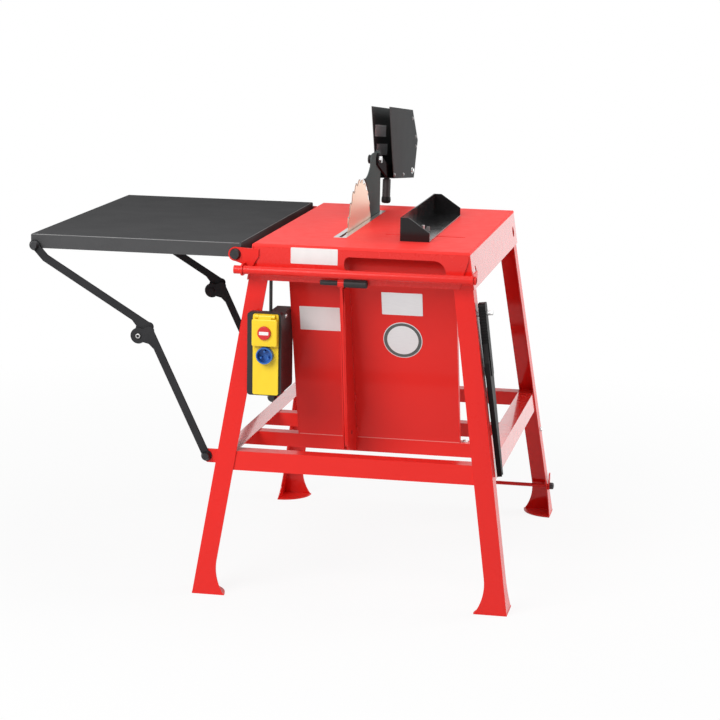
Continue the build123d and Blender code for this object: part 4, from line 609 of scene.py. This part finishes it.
# A plain round badge on the right panel: silver rim, dark band, silver face
badge = on_panel(88.7, 614.4)
turned("badge_rim", badge, panel_out, [(0.048, 0), (0.048, 0.0006), (0.0462, 0.0009), (0.0462, 0)],
       blank_silver, "bench", ring=True)
turned("badge_band", badge, panel_out, [(0.0462, 0), (0.0462, 0.0006), (0.0385, 0.0006), (0.0385, 0)],
       badge_dark, "bench", ring=True)
turned("badge_face", badge, panel_out, [(0.0385, 0), (0.0385, 0.0007), (0.0375, 0.0009)],
       blank_silver, "bench")

# The knob's outer cap
turned("guard_knob_cap", at(-97.9, 225, 993), -X,
       [(0.0105, 0), (0.0118, 0.0015), (0.0118, 0.0045), (0.009, 0.0062)],
       finishes["black_plastic"], "guard_knob", sides=32)

# The lever's hub between its two grips
turned("lever_hub", at(-49.3, -415, 766), X,
       [(0.009, 0), (0.0105, 0.0015), (0.0105, 0.0131), (0.009, 0.0146)],
       finishes["red_paint"], "lever", sides=32)


def box_of(node):
    """The low and high corners of a CAD node's box."""
    obj = frame["nodes"][node]
    corners = [obj.matrix_world @ Vector(corner) for corner in obj.bound_box]
    return [Vector([pick(c[k] for c in corners) for k in range(3)]) for pick in (min, max)]


# A plain white band across the stop disc
BAND_WIDTH, BAND_HEIGHT = 0.023, 0.008
low, high = box_of("stop_button")
middle = (low + high) / 2
band = Vector((middle.x - BAND_WIDTH / 2, low.y, middle.z - BAND_HEIGHT / 2))
plate("stop_disc_band", band, X, Z, BAND_WIDTH, BAND_HEIGHT, 0.0003, 0.0015,
      blank_vinyl, "stop_button")

# The round end of the guard's grip, which stands square to the guard's slope
low, high = box_of("guard_grip")
grip_end = Vector(((low.x + high.x) / 2, low.y + 0.0109, low.z + 0.0011))
turned("guard_grip_end", grip_end + guard_slope_up * 0.016, -guard_slope_up,
       [(0.0108, 0), (0.0122, 0.002), (0.0128, 0.009), (0.0124, 0.0135), (0.0106, 0.0168), (0.006, 0.0184)],
       stick_black, "guard", sides=32)

# Bolts of the motor beam and of the rear right leg
hex_screw.make("frame_bolts", [(at(232, -195, 347), Z, X), (at(349.1, 444, 241), X, Y)],
               finishes["zinc"], "bench", "zinc", head=0.0055, washer=0.0075)

# Bright ring on the elbow rivet of the front lower stay
low, high = box_of("stay_lower_front")
turned("elbow_ring", Vector((at(-541, 0, 0).x, low.y, 0.614)), -Y,
       [(0.0058, 0), (0.0058, 0.0008), (0.0036, 0.0012), (0.0036, 0)],
       finishes["bright_steel"], "stay_lower_front", ring=True, sides=32)

# Front and inner edges of the side table: thin light grey strips, painted highlights on the rounded edges
low, high = box_of("wing_table")
for name, corner, along, up, length in (
        ("side_table_edge", (low.x + 0.004, low.y, high.z - 0.0022), X, Z, high.x - low.x),
        ("side_table_inner_edge", (high.x - 0.0004, low.y + 0.004, high.z), Y, -X, high.y - low.y)):
    plate(name, Vector(corner), along, up, length - 0.008, 0.0016, 0.0004, 0.0004,
          painted_highlight_grey, "side_table")

# Lower edge of the fence: a thin bright steel strip, a painted highlight where the edge catches the light
low, high = box_of("fence_body")
plate("fence_edge_highlight", Vector((high.x, low.y + 0.003, low.z + 0.0006)), Y, Z,
      high.y - low.y - 0.006, 0.0018, 0.0003, 0.0004, finishes["bright_steel"], "fence")

# Dark caps on the ends of the rear axle
low, high = box_of("rear_axle")
for name, place, way in (("left", low.x, -X), ("right", high.x, X)):
    axle_end = Vector((place, (low.y + high.y) / 2, low.z + 0.01))
    turned(f"axle_cap_{name}", axle_end - way * 0.0105, way,
           [(0.0093, 0), (0.0093, 0.0085), (0.008, 0.0106), (0.004, 0.0118)],
           finishes["dark_steel"], "bench", sides=32)

# Lower edges of the front panels: a lip standing proud of the beam, painted a lighter red as a painted
# highlight
for name, start, end in (("left", -182, -49), ("right", -34.5, 221.5)):
    plate(f"panel_edge_{name}", on_panel(start, 347.4), X, panel_up, (end - start) / 1000, 0.0022,
          0.0006, 0.0006, panel_edge_highlight_paint, "bench")

# Weld runs where the channel meets the right panel
beads = [(on_panel(-35.5, z + 3.4 * step), panel_out, X) for z in (684, 448, 362) for step in range(5)]
dome_rivet.make("channel_welds", beads, finishes["red_paint"], "bench", "red_paint", head=0.0034)

# Floor, soft studio light and a white surround. Near the bench the floor glows a little less,
# so that its shadow shows
FLOOR_GLOW = 0.9
bpy.ops.mesh.primitive_plane_add(size=30, location=(0, 0, 0))
floor = bpy.context.active_object
floor.name = "studio_floor"
ground = Finish("studio_floor")
seen = ground.seen()
ground.wear(Base_Color=(0.8, 0.8, 0.8, 1), Roughness=0.8)
away = ground.node("ShaderNodeVectorMath", {"operation": "LENGTH"}, {0: ground.place()}, out="Value")
share = ground.step(away, 0.8, 2.4) * (1.0 - FLOOR_GLOW) + FLOOR_GLOW
glow = ground.node("ShaderNodeEmission", None, {"Color": (1, 1, 1, 1), "Strength": 1.0})
blend = ground.node("ShaderNodeMixShader", None, {0: seen * share})
mixer = blend.socket.node
ground.tree.links.new(ground.surface.outputs[0], mixer.inputs[1])
ground.tree.links.new(glow.socket, mixer.inputs[2])
ground.tree.links.new(blend.socket, ground.tree.nodes["Material Output"].inputs["Surface"])
floor.data.materials.append(ground.material)

world = bpy.data.worlds.new("white_studio")
world.use_nodes = True
scene.world = world
sky = Finish("white_studio", world.node_tree)
backdrop = world.node_tree.nodes["Background"]
backdrop.inputs["Color"].default_value = (1, 1, 1, 1)
sky.feed(backdrop.inputs["Strength"], sky.seen() * 0.8 + 0.2)


def soft_box(name, place, towards, width, watts):
    """A square area light that faces a place."""
    lamp = bpy.data.lights.new(name, "AREA")
    lamp.shape = "SQUARE"
    lamp.size = width
    lamp.energy = watts
    obj = bpy.data.objects.new(name, lamp)
    obj.location = place
    obj.rotation_euler = (Vector(towards) - Vector(place)).to_track_quat("-Z", "Y").to_euler()
    scene.collection.objects.link(obj)


soft_box("key_light", (-1.5, -3.3, 2.9), (0.1, 0.0, 0.5), 2.6, 152)
soft_box("overhead_light", (0.4, 0.2, 3.6), (0.1, 0.0, 0.5), 3.0, 25)
soft_box("right_light", (3.4, 1.0, 1.8), (0.2, 0.0, 0.6), 2.2, 78)

scene.view_settings.view_transform = "Standard"
